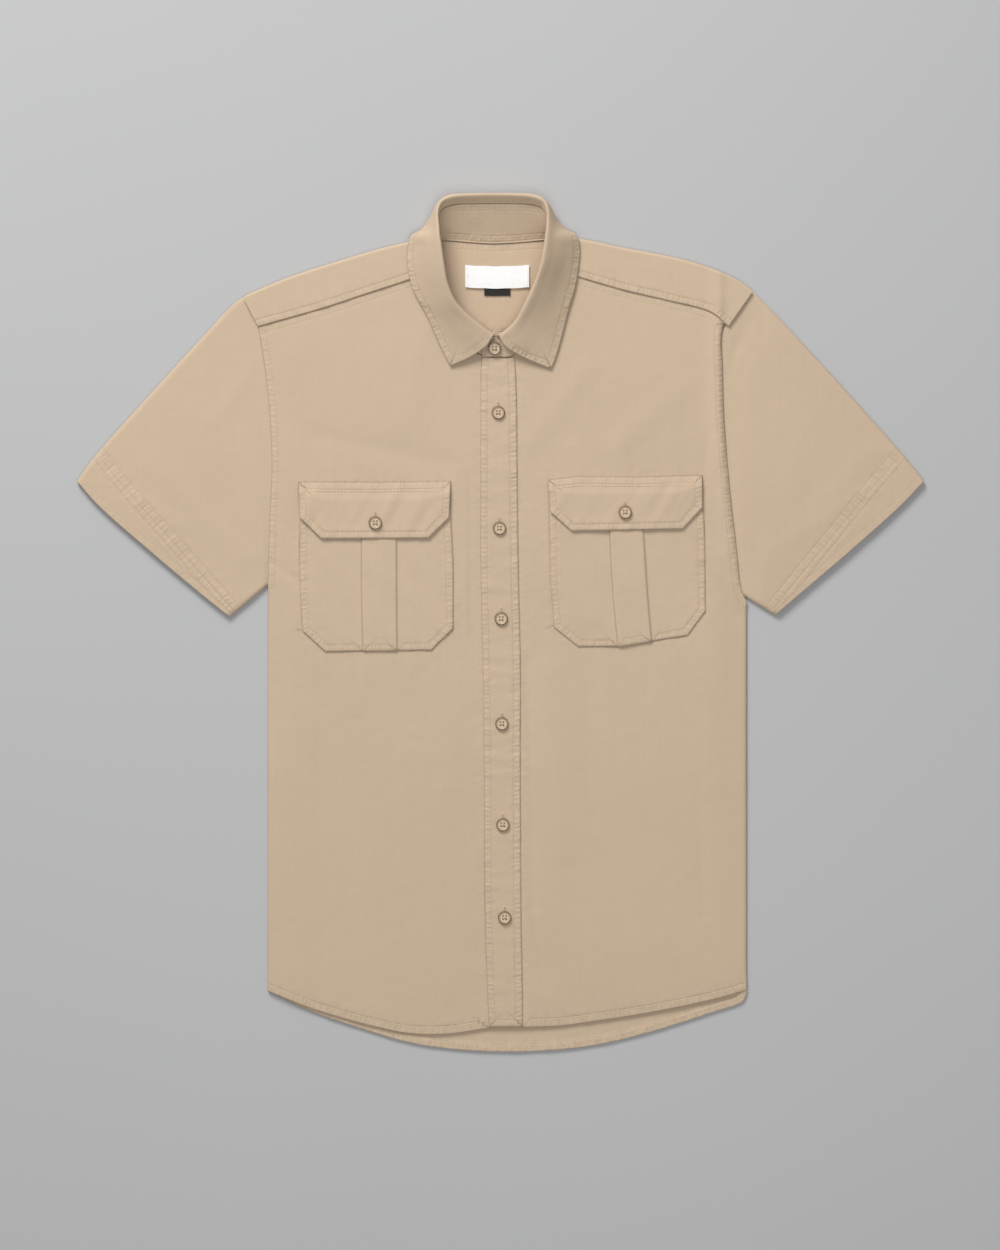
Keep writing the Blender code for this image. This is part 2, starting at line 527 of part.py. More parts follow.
def make_yoke():
    """One piece from the back seam over the shoulder folds to the forward seams, open at the neck."""
    # Columns of the yoke: x at the back seam, at the fold or neck, at the forward seam
    right = [
        (-218.2, -241.1, -227.5), (-218.2, -232.6, -219.5), (-195.0, -209.0, -196.0),
        (-163.0, -176.0, -167.0), (-127.0, -137.0, -135.0), (-90.0, -98.0, -100.0),
        (-66.0, -75.0, -79.0), (-55.0, -60.6, -66.1),
    ]
    neck = [(x, x, x) for x in (-49.0, -38.0, -24.0, -7.0, 12.0, 27.0, 37.5)]
    left = [
        (45.0, 49.0, 52.3), (56.0, 63.0, 64.0), (80.0, 87.0, 85.0), (112.0, 121.0, 117.0),
        (144.0, 154.0, 149.0), (172.0, 184.0, 180.0), (188.0, 198.0, 195.0), (196.0, 205.5, 202.0),
        (200.0, 211.0, 206.0), (204.2, 224.0, 209.6), (204.2, 236.1, 213.7),
    ]
    back_x, fold_x, front_x = np.array(right + neck + left).T
    fold_y = np.interp(fold_x, *smooth(SHOULDER_RIGHT[:-1] + NECK_BACK + SHOULDER_LEFT[1:]).T)
    front_y = np.interp(front_x, *smooth(YOKE_SEAM_RIGHT + YOKE_SEAM_LEFT).T)
    first_neck, last_neck = len(right), len(right) + len(neck)

    back = np.stack([back_x, np.full_like(back_x, BACK_SEAM_Y + SEAM)], axis=1)
    fold = np.stack([fold_x, fold_y], axis=1)
    front = np.stack([front_x, front_y], axis=1)
    down = np.array([0.0, -1.0])
    is_neck = np.zeros(len(fold_x), bool)
    is_neck[first_neck:last_neck] = True
    turn_start = np.where(is_neck[:, None], fold, fold + YOKE_ROLL * down)
    flange_top = fold + YOKE_ROLL * down
    height = front_height(flange_top[:, 0], flange_top[:, 1]) + YOKE_GAP + CLOTH

    outer, inner = [], []
    for share in np.linspace(0.0, 1.0, 6):
        plan = back + share * (turn_start - back)
        outer.append(lift(plan, 0.0))
        inner.append(lift(plan, CLOTH))
    for angle in np.radians([-60.0, -30.0, 0.0, 30.0, 60.0]):
        turned = 1.0 - math.cos(angle)
        outer.append(lift(fold + YOKE_ROLL * turned * down, height / 2 * (1 + math.sin(angle))))
        inner_plan = fold + (CLOTH + (YOKE_ROLL - CLOTH) * turned) * down
        inner.append(lift(inner_plan, height / 2 + (height / 2 - CLOTH) * math.sin(angle)))
    for share in np.linspace(0.0, 1.0, 6):
        plan = flange_top + share * (front - flange_top)
        top = front_height(plan[:, 0], plan[:, 1]) + YOKE_GAP + CLOTH
        outer.append(lift(plan, top))
        inner.append(lift(plan, top - CLOTH))
    outer, inner = np.stack(outer), np.stack(inner)

    # The neck is open from the fold forwards, and the ends are open below the forward seam's corner
    fold_row, corner_row = 5, 9
    keep = np.ones((outer.shape[0] - 1, outer.shape[1] - 1), bool)
    keep[fold_row:, first_neck - 1:last_neck] = False
    keep[:corner_row, [0, -1]] = False
    wall("yoke", outer, inner, keep=keep)


def make_sleeve(name, end, cuff, top, underarm):
    """A sleeve as a flattened tube: a flat lower layer, an upper layer and two rolled edges."""
    along_sleeve = np.array([0.0, 0.045, 0.09, 0.18, 0.32, 0.46, 0.6, 0.74, 0.86, 0.88, 1.0])
    widths = [np.linalg.norm(np.diff(line, axis=0), axis=1).sum() for line in (end, cuff)]
    width = np.interp(along_sleeve, [0.0, 1.0], widths)[:, None]
    across = np.linspace(0.0, 1.0, 9)[None, :]
    height = np.interp(along_sleeve, *np.array(SLEEVE_HEIGHT).T)[:, None]
    quarter = np.radians([60.0, 20.0, -20.0, -60.0])[None, :]
    grids = []
    for depth in (0.0, CLOTH):
        margin = SLEEVE_ROLL / width
        flat = margin + across * (1 - 2 * margin)
        edge = (depth + (SLEEVE_ROLL - depth) * (1 - np.cos(quarter))) / width
        u = np.concatenate([flat, 1 - edge, flat[:, ::-1], edge], axis=1)
        high = np.broadcast_to(height - depth, flat.shape)
        low = np.full(flat.shape, depth)
        turn = height / 2 + (height / 2 - depth) * np.sin(quarter)
        z = np.concatenate([high, turn, low, turn[:, ::-1]], axis=1)
        plan = patch(smooth(end), smooth(cuff), underarm, smooth(top), u, along_sleeve)
        grids.append(lift(plan, z))
    wall(name, *grids, ring=True)


def make_sleeves():
    """Both sleeves, from the armhole to the cuff."""
    underarm = [SLEEVE_END_RIGHT[0], (-218.7, 35.0), SLEEVE_CUFF_RIGHT[0]]
    make_sleeve("sleeve_right", SLEEVE_END_RIGHT, SLEEVE_CUFF_RIGHT, SLEEVE_TOP_RIGHT, underarm)
    underarm = [SLEEVE_END_LEFT[0], (230.8, 23.6), SLEEVE_CUFF_LEFT[0]]
    make_sleeve("sleeve_left", SLEEVE_END_LEFT, SLEEVE_CUFF_LEFT, SLEEVE_TOP_LEFT, underarm)


def laid_on_front(name, plan, gap, thickness):
    """A piece whose lower surface follows the front's, moved out by gap."""
    below = front_height(plan[..., 0], plan[..., 1]) + gap
    wall(name, lift(plan, below + thickness), lift(plan, below))


def make_placket():
    """The buttonhole strip over both fronts' edges."""
    right, left = smooth(PLACKET_RIGHT_EDGE), smooth(PLACKET_LEFT_EDGE)
    v = np.concatenate([[0.0, 0.012], np.linspace(0.04, 1.0, 22)])
    plan = patch([right[0], left[0]], [right[-1], left[-1]], right, left, np.linspace(0.0, 1.0, 5), v)
    laid_on_front("placket", plan, SEAM, CLOTH)


def chamfer_shares(bottom):
    """Shares of a bottom edge's length at which its two cut-off corners end."""
    total = sum(math.dist(a, b) for a, b in zip(bottom, bottom[1:]))
    return math.dist(*bottom[:2]) / total, 1.0 - math.dist(*bottom[-2:]) / total


def make_pockets():
    """Patch pockets whose middle is raised as a box pleat, under flaps with cut-off corners."""
    v = np.linspace(0.0, 1.0, 10)
    for name, shape in POCKETS.items():
        bottom, right, left = shape["bottom"], smooth(shape["right"]), smooth(shape["left"])
        first, last = chamfer_shares(bottom)
        pleat_right, pleat_left = np.array([shape["pleat_below"], shape["pleat_above"]]).T
        below, above = np.array([
            (0.0, 0.0), (first, 0.14), (0.27, 0.27),
            pleat_right - PLEAT_STEP_SHARE, pleat_right, pleat_left, pleat_left + PLEAT_STEP_SHARE,
            (0.75, 0.75), (last, 0.86), (1.0, 1.0),
        ]).T
        u = below + v[:, None] * (above - below)
        plan = patch(bottom, [right[-1], left[-1]], right, left, u, v)
        raised = np.zeros(u.shape)
        raised[:, 4:6] = PLEAT_RAISE
        laid_on_front(name, plan, POCKET_LIFT, CLOTH + raised)
    for name, shape in FLAPS.items():
        bottom, top = shape["bottom"], shape["top"]
        u = np.concatenate([[0.0], np.linspace(*chamfer_shares(bottom), 7), [1.0]])
        share_v = np.array([0.0, 0.25, 0.5, 0.68, 0.85, 1.0])
        plan = patch(bottom, top, [bottom[0], top[0]], [bottom[-1], top[-1]], u, share_v)
        rise = np.interp(share_v, [0.0, 0.25, 0.68, 1.0],
                         [FLAP_EDGE_LIFT, FLAP_OVER_POCKET_LIFT, FLAP_OVER_POCKET_LIFT, FLAP_SEWN_LIFT])
        laid_on_front(name, plan, rise[:, None], CLOTH)


def offset_both(middle, thickness):
    """The two surfaces half a cloth to each side of a middle surface, moved along its normals."""
    du, dv = np.gradient(middle, axis=1), np.gradient(middle, axis=0)
    normal = np.cross(du, dv)
    normal /= np.linalg.norm(normal, axis=-1, keepdims=True)
    return middle + normal * thickness / 2, middle - normal * thickness / 2


def make_collar():
    """The stand rises from the neck, and the leaf rolls over it and falls to its points."""
    per_station = 2
    pick = SPAN_POINTS // per_station
    pairs = STAND_UNDER_END + [(station[0], station[1]) for station in COLLAR] + STAND_OVER_END
    foot = smooth([pair[0] for pair in pairs])[::pick]
    head = smooth([pair[1] for pair in pairs])[::pick]
    toward = (head - foot) / np.linalg.norm(head - foot, axis=1, keepdims=True)
    leaf_line = smooth([station[2] for station in COLLAR])[::pick]
    away = np.zeros_like(toward)
    away[2 * per_station:-2 * per_station] = leaf_line - head[2 * per_station:-2 * per_station]
    away /= np.maximum(np.linalg.norm(away, axis=1, keepdims=True), 1e-6)
    bend = np.linalg.norm(np.cross(toward, away), axis=1, keepdims=True)
    stand_top = head - toward * (COLLAR_SEAM + COLLAR_CLOTH / 2 * bend)
    shares = np.linspace(0.0, 1.0, 4)[:, None, None]
    middle = foot[None] + shares * (stand_top - foot)[None]
    wall("collar_stand", *offset_both(middle, COLLAR_CLOTH))

    stations = np.array([station[1:] for station in COLLAR], float)
    lines = np.stack([smooth(stations[:, k])[::pick] for k in range(stations.shape[1])], axis=1)
    sections = np.stack([smooth(section) for section in lines])
    counts = [0, 5, 9, 12, 15, 20, 28, 38, 48]
    middle = np.swapaxes(sections[:, counts], 0, 1)
    middle[..., 2] = np.maximum(middle[..., 2], COLLAR_CLOTH / 2 + 0.02)
    outer, inner = offset_both(middle, COLLAR_CLOTH)
    for grid in (outer, inner):
        grid[..., 2] = np.maximum(grid[..., 2], 0.0)
    wall("collar_leaf", outer, inner)


def button_mesh():
    """A turned disc with four holes, cut with a Boolean and kept as one mesh."""
    profile = [(0.92, 0.0), (1.0, 0.4), (0.94, 1.0), (0.74, BUTTON_FLOOR / BUTTON_THICKNESS)]
    sides = 16
    turned = bmesh.new()
    rings = []
    for radius, height in profile:
        rings.append([
            turned.verts.new((
                radius * BUTTON_RADIUS * MM * math.cos(2 * math.pi * k / sides),
                radius * BUTTON_RADIUS * MM * math.sin(2 * math.pi * k / sides),
                height * BUTTON_THICKNESS * MM,
            ))
            for k in range(sides)
        ])
    for low, high in zip(rings, rings[1:]):
        for k in range(sides):
            turned.faces.new((low[k], low[(k + 1) % sides], high[(k + 1) % sides], high[k]))
    turned.faces.new(rings[0][::-1])
    turned.faces.new(rings[-1])
    disc_mesh = bpy.data.meshes.new("button")
    turned.to_mesh(disc_mesh)
    turned.free()
    disc_mesh.materials.append(material("button"))
    disc = bpy.data.objects.new("button_disc", disc_mesh)
    bpy.context.collection.objects.link(disc)

    holes = bmesh.new()
    for x in (-1, 1):
        for y in (-1, 1):
            bmesh.ops.create_cone(
                holes, cap_ends=True, segments=6, depth=3 * BUTTON_THICKNESS * MM,
                radius1=BUTTON_HOLE_RADIUS * MM, radius2=BUTTON_HOLE_RADIUS * MM,
                matrix=Matrix.Translation(Vector((x, y, 0.0)) * BUTTON_HOLE_OFFSET * MM),
            )
    cutter_mesh = bpy.data.meshes.new("button_holes")
    holes.to_mesh(cutter_mesh)
    holes.free()
    cutter = bpy.data.objects.new("button_holes", cutter_mesh)
    cutter.hide_render = True
    cutter.display_type = "WIRE"
    bpy.context.collection.objects.link(cutter)

    cut = disc.modifiers.new("holes", "BOOLEAN")
    cut.operation = "DIFFERENCE"
    cut.object = cutter
    bpy.context.view_layer.update()
    graph = bpy.context.evaluated_depsgraph_get()
    result = bpy.data.meshes.new_from_object(disc.evaluated_get(graph))
    result.name = "button_four_holes"
    bpy.data.objects.remove(disc, do_unlink=True)
    bpy.data.objects.remove(cutter, do_unlink=True)
    return result


def front_height_under(x, y):
    """The highest point of the front's surface under a button."""
    reach_x = BUTTON_RADIUS * np.array([-1.0, 0.0, 1.0, 0.0, 0.0])
    reach_y = BUTTON_RADIUS * np.array([0.0, 0.0, 0.0, -1.0, 1.0])
    return front_height(x + reach_x, y + reach_y).max()


def make_buttons():
    """Six buttons on the placket, one on the stand and one on each flap, sharing one mesh."""
    mesh = button_mesh()

    def place(name, x, y, z, tilt=0.0):
        item = bpy.data.objects.new(name, mesh)
        item.location = (x * MM, y * MM, z * MM)
        item.rotation_euler = (tilt, 0.0, 0.0)
        bpy.context.collection.objects.link(item)

    for number, (x, y) in enumerate(PLACKET_BUTTONS, start=1):
        place(f"button_{number}", x, y, front_height_under(x, y) + 2 * SEAM + CLOTH)
    for name, (x, y) in POCKET_BUTTONS.items():
        place(name, x, y, front_height_under(x, y) + FLAP_EDGE_LIFT + CLOTH + SEAM)
    x, y = COLLAR_BUTTON
    foot = COLLAR[-1][0]
    mid_height = foot[2] + (y - foot[1]) * math.tan(STAND_SLOPE)
    above = (COLLAR_CLOTH / 2 + SEAM) / math.cos(STAND_SLOPE)
    place("button_collar", x, y, mid_height + above, STAND_SLOPE)


def make_label():
    """The bare neck label, sagging a little, over the bare size tab."""
    u = np.linspace(-0.5, 0.5, 9)[None, :]
    v = np.linspace(0.0, 1.0, 3)[:, None]
    x = LABEL_X + LABEL_WIDTH * u + 0 * v
    y = LABEL_BOTTOM + (LABEL_TOP - LABEL_BOTTOM) * v - LABEL_SAG * (1 - 4 * u**2)
    tab_top = CLOTH + SEAM + LABEL_THICKNESS
    plan = np.stack([x, y], axis=-1)
    wall("label", lift(plan, tab_top + SEAM + LABEL_THICKNESS), lift(plan, tab_top + SEAM), "white")
    u = np.linspace(-0.5, 0.5, 3)[None, :]
    x = TAB_X + TAB_WIDTH * u + 0 * v
    y = TAB_BOTTOM + (TAB_TOP - TAB_BOTTOM) * v + 0 * u
    plan = np.stack([x, y], axis=-1)
    wall("size_tab", lift(plan, tab_top), lift(plan, CLOTH + SEAM), "black")


def group_under_empty():
    """Parents every piece to one empty at the shirt's origin."""
    root = bpy.data.objects.new("shirt", None)
    bpy.context.collection.objects.link(root)
    for item in list(bpy.data.objects):
        if item.type == "MESH":
            item.parent = root


clear_scene()
make_back()
make_fronts()
make_yoke()
make_sleeves()
make_placket()
make_pockets()
make_collar()
make_buttons()
make_label()
group_under_empty()
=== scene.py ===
"""The looks of a short-sleeved twill shirt, laid flat on its back and seen from straight above.

Sizes are in millimetres until a mesh is made. X runs to the wearer's left, Y to the collar and Z up.
"""

import math

import bpy
import numpy as np
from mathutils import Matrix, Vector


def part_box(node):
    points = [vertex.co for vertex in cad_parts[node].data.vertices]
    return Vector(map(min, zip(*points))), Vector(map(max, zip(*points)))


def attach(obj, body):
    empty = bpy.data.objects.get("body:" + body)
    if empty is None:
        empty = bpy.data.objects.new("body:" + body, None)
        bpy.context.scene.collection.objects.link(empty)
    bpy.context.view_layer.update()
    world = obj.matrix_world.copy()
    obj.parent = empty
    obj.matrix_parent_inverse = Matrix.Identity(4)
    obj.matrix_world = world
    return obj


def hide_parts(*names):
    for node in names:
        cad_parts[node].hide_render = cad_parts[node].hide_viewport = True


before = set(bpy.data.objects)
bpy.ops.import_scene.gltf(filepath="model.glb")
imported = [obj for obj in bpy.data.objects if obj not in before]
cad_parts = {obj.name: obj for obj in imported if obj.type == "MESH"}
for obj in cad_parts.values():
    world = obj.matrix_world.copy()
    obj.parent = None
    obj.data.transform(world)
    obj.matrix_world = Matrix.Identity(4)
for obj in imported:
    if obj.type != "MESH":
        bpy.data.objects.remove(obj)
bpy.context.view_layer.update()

# The table, the studio light and the camera.
# The shirt was photographed from straight above on a plain grey table, under one broad soft light at
# the top left with a weaker fill all round.
FRAME_HEIGHT = 1175.0
FRAME_CENTRE = (-0.47, -2.35)
CAMERA_HEIGHT = 6000.0
MM = 0.001


class Wire:
    """One output of a shader node. Arithmetic on it adds Math nodes to its tree."""

    def __init__(self, tree, socket=None):
        self.tree, self.socket = tree, socket

    def node(self, kind, settings, inputs, output=0):
        """Adds a node: its settings first, then a value or a wire for each socket that is named."""
        made = self.tree.nodes.new(kind)
        for key, value in settings.items():
            setattr(made, key, value)
        for key, value in inputs.items():
            if isinstance(value, Wire):
                self.tree.links.new(value.socket, made.inputs[key])
            else:
                made.inputs[key].default_value = value
        return Wire(self.tree, made.outputs[output])

    def math(self, operation, *values):
        return self.node("ShaderNodeMath", {"operation": operation}, dict(enumerate(values)))

    def __add__(self, other):
        return self.math("ADD", self, other)

    def __sub__(self, other):
        return self.math("SUBTRACT", self, other)

    def __rsub__(self, other):
        return self.math("SUBTRACT", other, self)

    def __mul__(self, other):
        return self.math("MULTIPLY", self, other)

    def clamp(self, low=0.0, high=1.0):
        return self.math("MINIMUM", self.math("MAXIMUM", self, low), high)

    __radd__ = __add__
    __rmul__ = __mul__


def finish_of(name, roughness, sheen=0.0, specular=0.5):
    """A material with one Principled shader: its tree as a wire, and the shader itself."""
    made = bpy.data.materials.new(name)
    made.use_nodes = True
    shader = made.node_tree.nodes["Principled BSDF"]
    shader.inputs["Roughness"].default_value = roughness
    shader.inputs["Sheen Weight"].default_value = sheen
    shader.inputs["Specular IOR Level"].default_value = specular
    return made, Wire(made.node_tree), shader


def table_finish():
    """Matt grey table: one grey with a faint broad mottle, and a fine tooth."""
    made, tree, shader = finish_of("table", 0.85, specular=0.25)
    place = tree.node("ShaderNodeTexCoord", {}, {}, "Object")
    mottle = tree.node("ShaderNodeTexNoise", {}, {"Vector": place, "Scale": 1.3, "Detail": 2.0}, "Fac")
    tooth = tree.node("ShaderNodeTexNoise", {}, {"Vector": place, "Scale": 900.0, "Detail": 2.0}, "Fac")
    grey = tree.node(
        "ShaderNodeMix", {"data_type": "RGBA"},
        {0: mottle, 6: (0.455, 0.457, 0.460, 1.0), 7: (0.485, 0.487, 0.490, 1.0)}, 2,
    )
    bump = tree.node("ShaderNodeBump", {}, {"Height": tooth, "Strength": 0.1, "Distance": 0.0002})
    tree.tree.links.new(grey.socket, shader.inputs["Base Color"])
    tree.tree.links.new(bump.socket, shader.inputs["Normal"])
    return made


table_mesh = bpy.data.meshes.new("table")
table_mesh.from_pydata(
    [(-4.0, -4.0, -0.0004), (4.0, -4.0, -0.0004), (4.0, 4.0, -0.0004), (-4.0, 4.0, -0.0004)], [], [(0, 1, 2, 3)]
)
table_mesh.materials.append(table_finish())
table = bpy.data.objects.new("table", table_mesh)
bpy.context.collection.objects.link(table)

camera_data = bpy.data.cameras.new("camera")
camera_data.sensor_fit = "VERTICAL"
camera_data.sensor_height = 36.0
camera_data.lens = 36.0 * CAMERA_HEIGHT / FRAME_HEIGHT
camera = bpy.data.objects.new("camera", camera_data)
camera.location = (FRAME_CENTRE[0] * MM, FRAME_CENTRE[1] * MM, CAMERA_HEIGHT * MM)
bpy.context.collection.objects.link(camera)
bpy.context.scene.camera = camera


def soft_light(name, place, size, power, aim=(0.0, 0.0, 0.0)):
    """A square soft box of a size in metres, turned to face a point."""
    data = bpy.data.lights.new(name, "AREA")
    data.size = size
    data.energy = power
    light = bpy.data.objects.new(name, data)
    light.location = place
    away = np.array(place) - np.array(aim)
    light.rotation_euler = (math.atan2(math.hypot(away[0], away[1]), away[2]), 0.0, math.atan2(away[0], -away[1]))
    bpy.context.collection.objects.link(light)


soft_light("key", (-1.1, 2.9, 2.0), 1.4, 120.0, (0.0, 0.1, 0.0))
soft_light("fill", (0.1, -0.3, 2.2), 1.3, 15.0)
world = bpy.data.worlds.new("studio")
world.use_nodes = True
world.node_tree.nodes["Background"].inputs["Color"].default_value = (1.0, 1.0, 1.0, 1.0)
world.node_tree.nodes["Background"].inputs["Strength"].default_value = 0.30
bpy.context.scene.world = world
bpy.context.scene.view_settings.view_transform = "Standard"

# The back.
# One panel of washed cotton twill, flat on the table, with a narrow turned-up hem that shows past the
# fronts. It is sewn to the sleeves at the armholes and to the yoke at the top.
CLOTH = 1.0
SEAM = 0.3
BODY_TOP = 4.3
HEM_BAND_WIDTH = 6.5
HEM_BAND_TOP = 1.8
ARMHOLE_GAP = 0.8
RIGHT_SIDE_X = -218.5
LEFT_SIDE_X = 231.2
BACK_SEAM_Y = 268.3
BACK_HEM = [
    (-218.5, -346.6), (-180.9, -364.0), (-133.9, -380.4), (-79.4, -395.9), (-17.4, -402.7),
    (38.7, -402.4), (87.2, -397.3), (135.8, -386.1), (200.6, -365.8), (227.0, -356.4), (231.2, -348.8),
]
SLEEVE_END_RIGHT = [
    (-216.2, 37.1), (-211.5, 55.9), (-208.2, 93.5), (-206.8, 136.8), (-207.3, 171.5), (-209.6, 209.1),
    (-214.3, 244.9), (-219.0, 268.3), (-234.5, 306.0),
]
SLEEVE_END_LEFT = [
    (226.2, 26.0), (221.0, 47.5), (213.8, 86.9), (206.6, 133.9), (201.8, 180.9), (199.8, 218.5),
    (201.2, 246.8), (206.0, 268.3), (230.3, 311.5),
]


def smooth(rows, span=12):
    """Dense points on a smooth curve through the rows: cubic spans whose slopes come from the chords."""
    points = np.array(rows, float)
    chord = np.diff(points, axis=0)
    step = np.sqrt(np.linalg.norm(chord, axis=1))[:, None]
    slope = chord / step
    inner = (slope[:-1] * step[1:] + slope[1:] * step[:-1]) / (step[:-1] + step[1:])
    slopes = np.vstack([slope[:1], inner, slope[-1:]])
    t = np.linspace(0.0, 1.0, span, endpoint=False)[None, :, None]
    start, end = points[:-1, None], points[1:, None]
    leave, arrive = (slopes[:-1] * step)[:, None], (slopes[1:] * step)[:, None]
    spans = (
        (2 * t**3 - 3 * t**2 + 1) * start
        + (t**3 - 2 * t**2 + t) * leave
        + (3 * t**2 - 2 * t**3) * end
        + (t**3 - t**2) * arrive
    )
    return np.vstack([spans.reshape(-1, points.shape[1]), points[-1:]])


def run_of(line):
    """The running length at each point of a line, in plan."""
    return np.concatenate([[0.0], np.cumsum(np.linalg.norm(np.diff(np.asarray(line)[:, :2], axis=0), axis=1))])


def along(line, shares):
    """Points of a line at the given shares of its length in plan."""
    line = np.asarray(line, float)
    run = run_of(line)
    where = np.asarray(shares) * run[-1]
    return np.stack([np.interp(where, run, line[:, k]) for k in range(line.shape[1])], axis=-1)


def patch(bottom, top, start, end, u, v):
    """Plan points of a four-sided panel: its sides blended, u along bottom and top, v up the other two."""
    v = np.asarray(v, float)[:, None] + np.zeros_like(np.asarray(u, float))
    u = np.asarray(u, float) + np.zeros_like(v)
    sides = (1 - v)[..., None] * along(bottom, u) + v[..., None] * along(top, u)
    ends = (1 - u)[..., None] * along(start, v) + u[..., None] * along(end, v)
    corners = (
        ((1 - u) * (1 - v))[..., None] * along(bottom, 0.0)
        + (u * (1 - v))[..., None] * along(bottom, 1.0)
        + ((1 - u) * v)[..., None] * along(top, 0.0)
        + (u * v)[..., None] * along(top, 1.0)
    )
    return sides + ends - corners


def lift(plan, z):
    """Plan points with a height."""
    return np.concatenate([plan, (np.zeros(plan.shape[:-1]) + z)[..., None]], axis=-1)


def spaced(length, near, far, reach):
    """Shares from 0 to 1 whose steps are near at both ends and far beyond reach from them."""
    place = np.linspace(0.0, length, 4001)
    step = near + (far - near) * np.clip(np.minimum(place, length - place) / reach - 1.0, 0.0, 1.0)
    count = np.concatenate([[0.0], np.cumsum(np.diff(place) / step[1:])])
    return np.interp(np.linspace(0.0, count[-1], int(count[-1]) + 2), count, place) / length


CHANCE = np.random.RandomState(7).rand(4096)


def chance(place, seed):
    """Smooth random values from 0 to 1, one unit apart along a line: seeded values joined by eased steps."""
    cell = np.floor(place).astype(int)
    share = place - cell
    share = share * share * (3 - 2 * share)
    low, high = CHANCE[(cell * 7 + seed * 131) % 4096], CHANCE[((cell + 1) * 7 + seed * 131) % 4096]
    return low + (high - low) * share


def chance_2d(x, y, seed):
    """Smooth random values from 0 to 1 over a plane: rows of the line's values, eased from row to row."""
    row = np.floor(y)
    share = y - row
    share = share * share * (3 - 2 * share)
    low, high = chance(x + 17.3 * row, seed), chance(x + 17.3 * (row + 1), seed)
    return low + (high - low) * share


def nearest(plan, seams):
    """For each point, how far it is from the nearest seam, how far along that seam, and its pull.
    seams has rows of (line, pull)."""
    flat = plan.reshape(-1, 2)
    best = np.full(len(flat), 1e9)
    place, pull = np.zeros(len(flat)), np.zeros(len(flat))
    passed = 0.0
    for line, strength in seams:
        dense = along(line, np.linspace(0.0, 1.0, int(run_of(line)[-1] / 1.5) + 2))[:, :2]
        tangent = np.gradient(dense, axis=0)
        tangent /= np.linalg.norm(tangent, axis=1)[:, None]
        run = run_of(dense)
        for part in np.array_split(np.arange(len(flat)), max(1, len(flat) * len(dense) // 4_000_000)):
            gap = flat[part][:, None] - dense[None]
            far = np.einsum("ijk,ijk->ij", gap, gap)
            close = far.argmin(axis=1)
            offset = gap[np.arange(len(part)), close]
            slide = np.einsum("ij,ij->i", offset, tangent[close])
            slide = np.where((close > 0) & (close < len(dense) - 1), slide, 0.0)
            side = np.sqrt(np.maximum(np.einsum("ij,ij->i", offset, offset) - slide**2, 0.0))
            better = side < best[part]
            best[part] = np.where(better, side, best[part])
            place[part] = np.where(better, run[close] + slide + passed, place[part])
            pull[part] = np.where(better, strength, pull[part])
        passed += run[-1]
    shape = plan.shape[:-1]
    return best.reshape(shape), place.reshape(shape), pull.reshape(shape)


def puckers(far, place, pull, stitched):
    """Height of the puckers beside a seam: uneven short ridges across it, strongest between the edge and
    the stitching, which sits in a shallow groove. A negative pull has the ridges alone, faintly."""
    slant = place + 0.35 * far
    ridge = chance(slant / 5.2, 3) * 0.5 + chance(slant / 10.5, 5) * 0.9 - 0.7
    strength = 0.3 + 0.9 * chance(place / 30.0, 9)
    reach = np.exp(-(((far - 0.5 * stitched) / (0.7 * stitched)) ** 2))
    reach = reach + 0.35 * np.exp(-((far / (2.2 * stitched)) ** 2))
    groove = np.exp(-(((far - stitched) / 1.1) ** 2))
    return 0.5 * np.abs(pull) * ridge * strength * reach - 0.2 * np.maximum(pull, 0.0) * groove


def rumple(x, y):
    """Height of the soft unevenness of washed cloth: three sizes of smooth random waves."""
    return (
        0.7 * (chance_2d(x / 48.0, y / 70.0, 11) - 0.5)
        + 0.34 * (chance_2d((x + 0.5 * y) / 17.0, (y - 0.5 * x) / 38.0, 13) - 0.5)
        + 0.12 * (chance_2d((x - 0.3 * y) / 8.0, (y + 0.3 * x) / 11.0, 17) - 0.5)
    )


def surface(name, points, quads, finish, seam=None):
    """One mesh of quads at the origin, with faces turned outwards. seam is stored at its points."""
    a, b, c, d = (points[quads[:, k]] for k in range(4))
    volume = np.einsum("ij,ij->", a, np.cross(b, c)) + np.einsum("ij,ij->", a, np.cross(c, d))
    if volume < 0:
        quads = quads[:, ::-1]
    mesh = bpy.data.meshes.new(name)
    mesh.vertices.add(len(points))
    mesh.vertices.foreach_set("co", (points * MM).astype(np.float32).ravel())
    mesh.loops.add(quads.size)
    mesh.loops.foreach_set("vertex_index", quads.astype(np.int32).ravel())
    mesh.polygons.add(len(quads))
    mesh.polygons.foreach_set("loop_start", np.arange(0, quads.size, 4, dtype=np.int32))
    mesh.polygons.foreach_set("use_smooth", np.ones(len(quads), bool))
    mesh.update(calc_edges=True)
    mesh.materials.append(finish)
    if seam is not None:
        stored = mesh.attributes.new("seam", "FLOAT_VECTOR", "POINT")
        stored.data.foreach_set("vector", seam.astype(np.float32).ravel())
    mesh.set_sharp_from_angle(angle=math.radians(50.0))
    piece = bpy.data.objects.new(name, mesh)
    bpy.context.collection.objects.link(piece)
    return piece


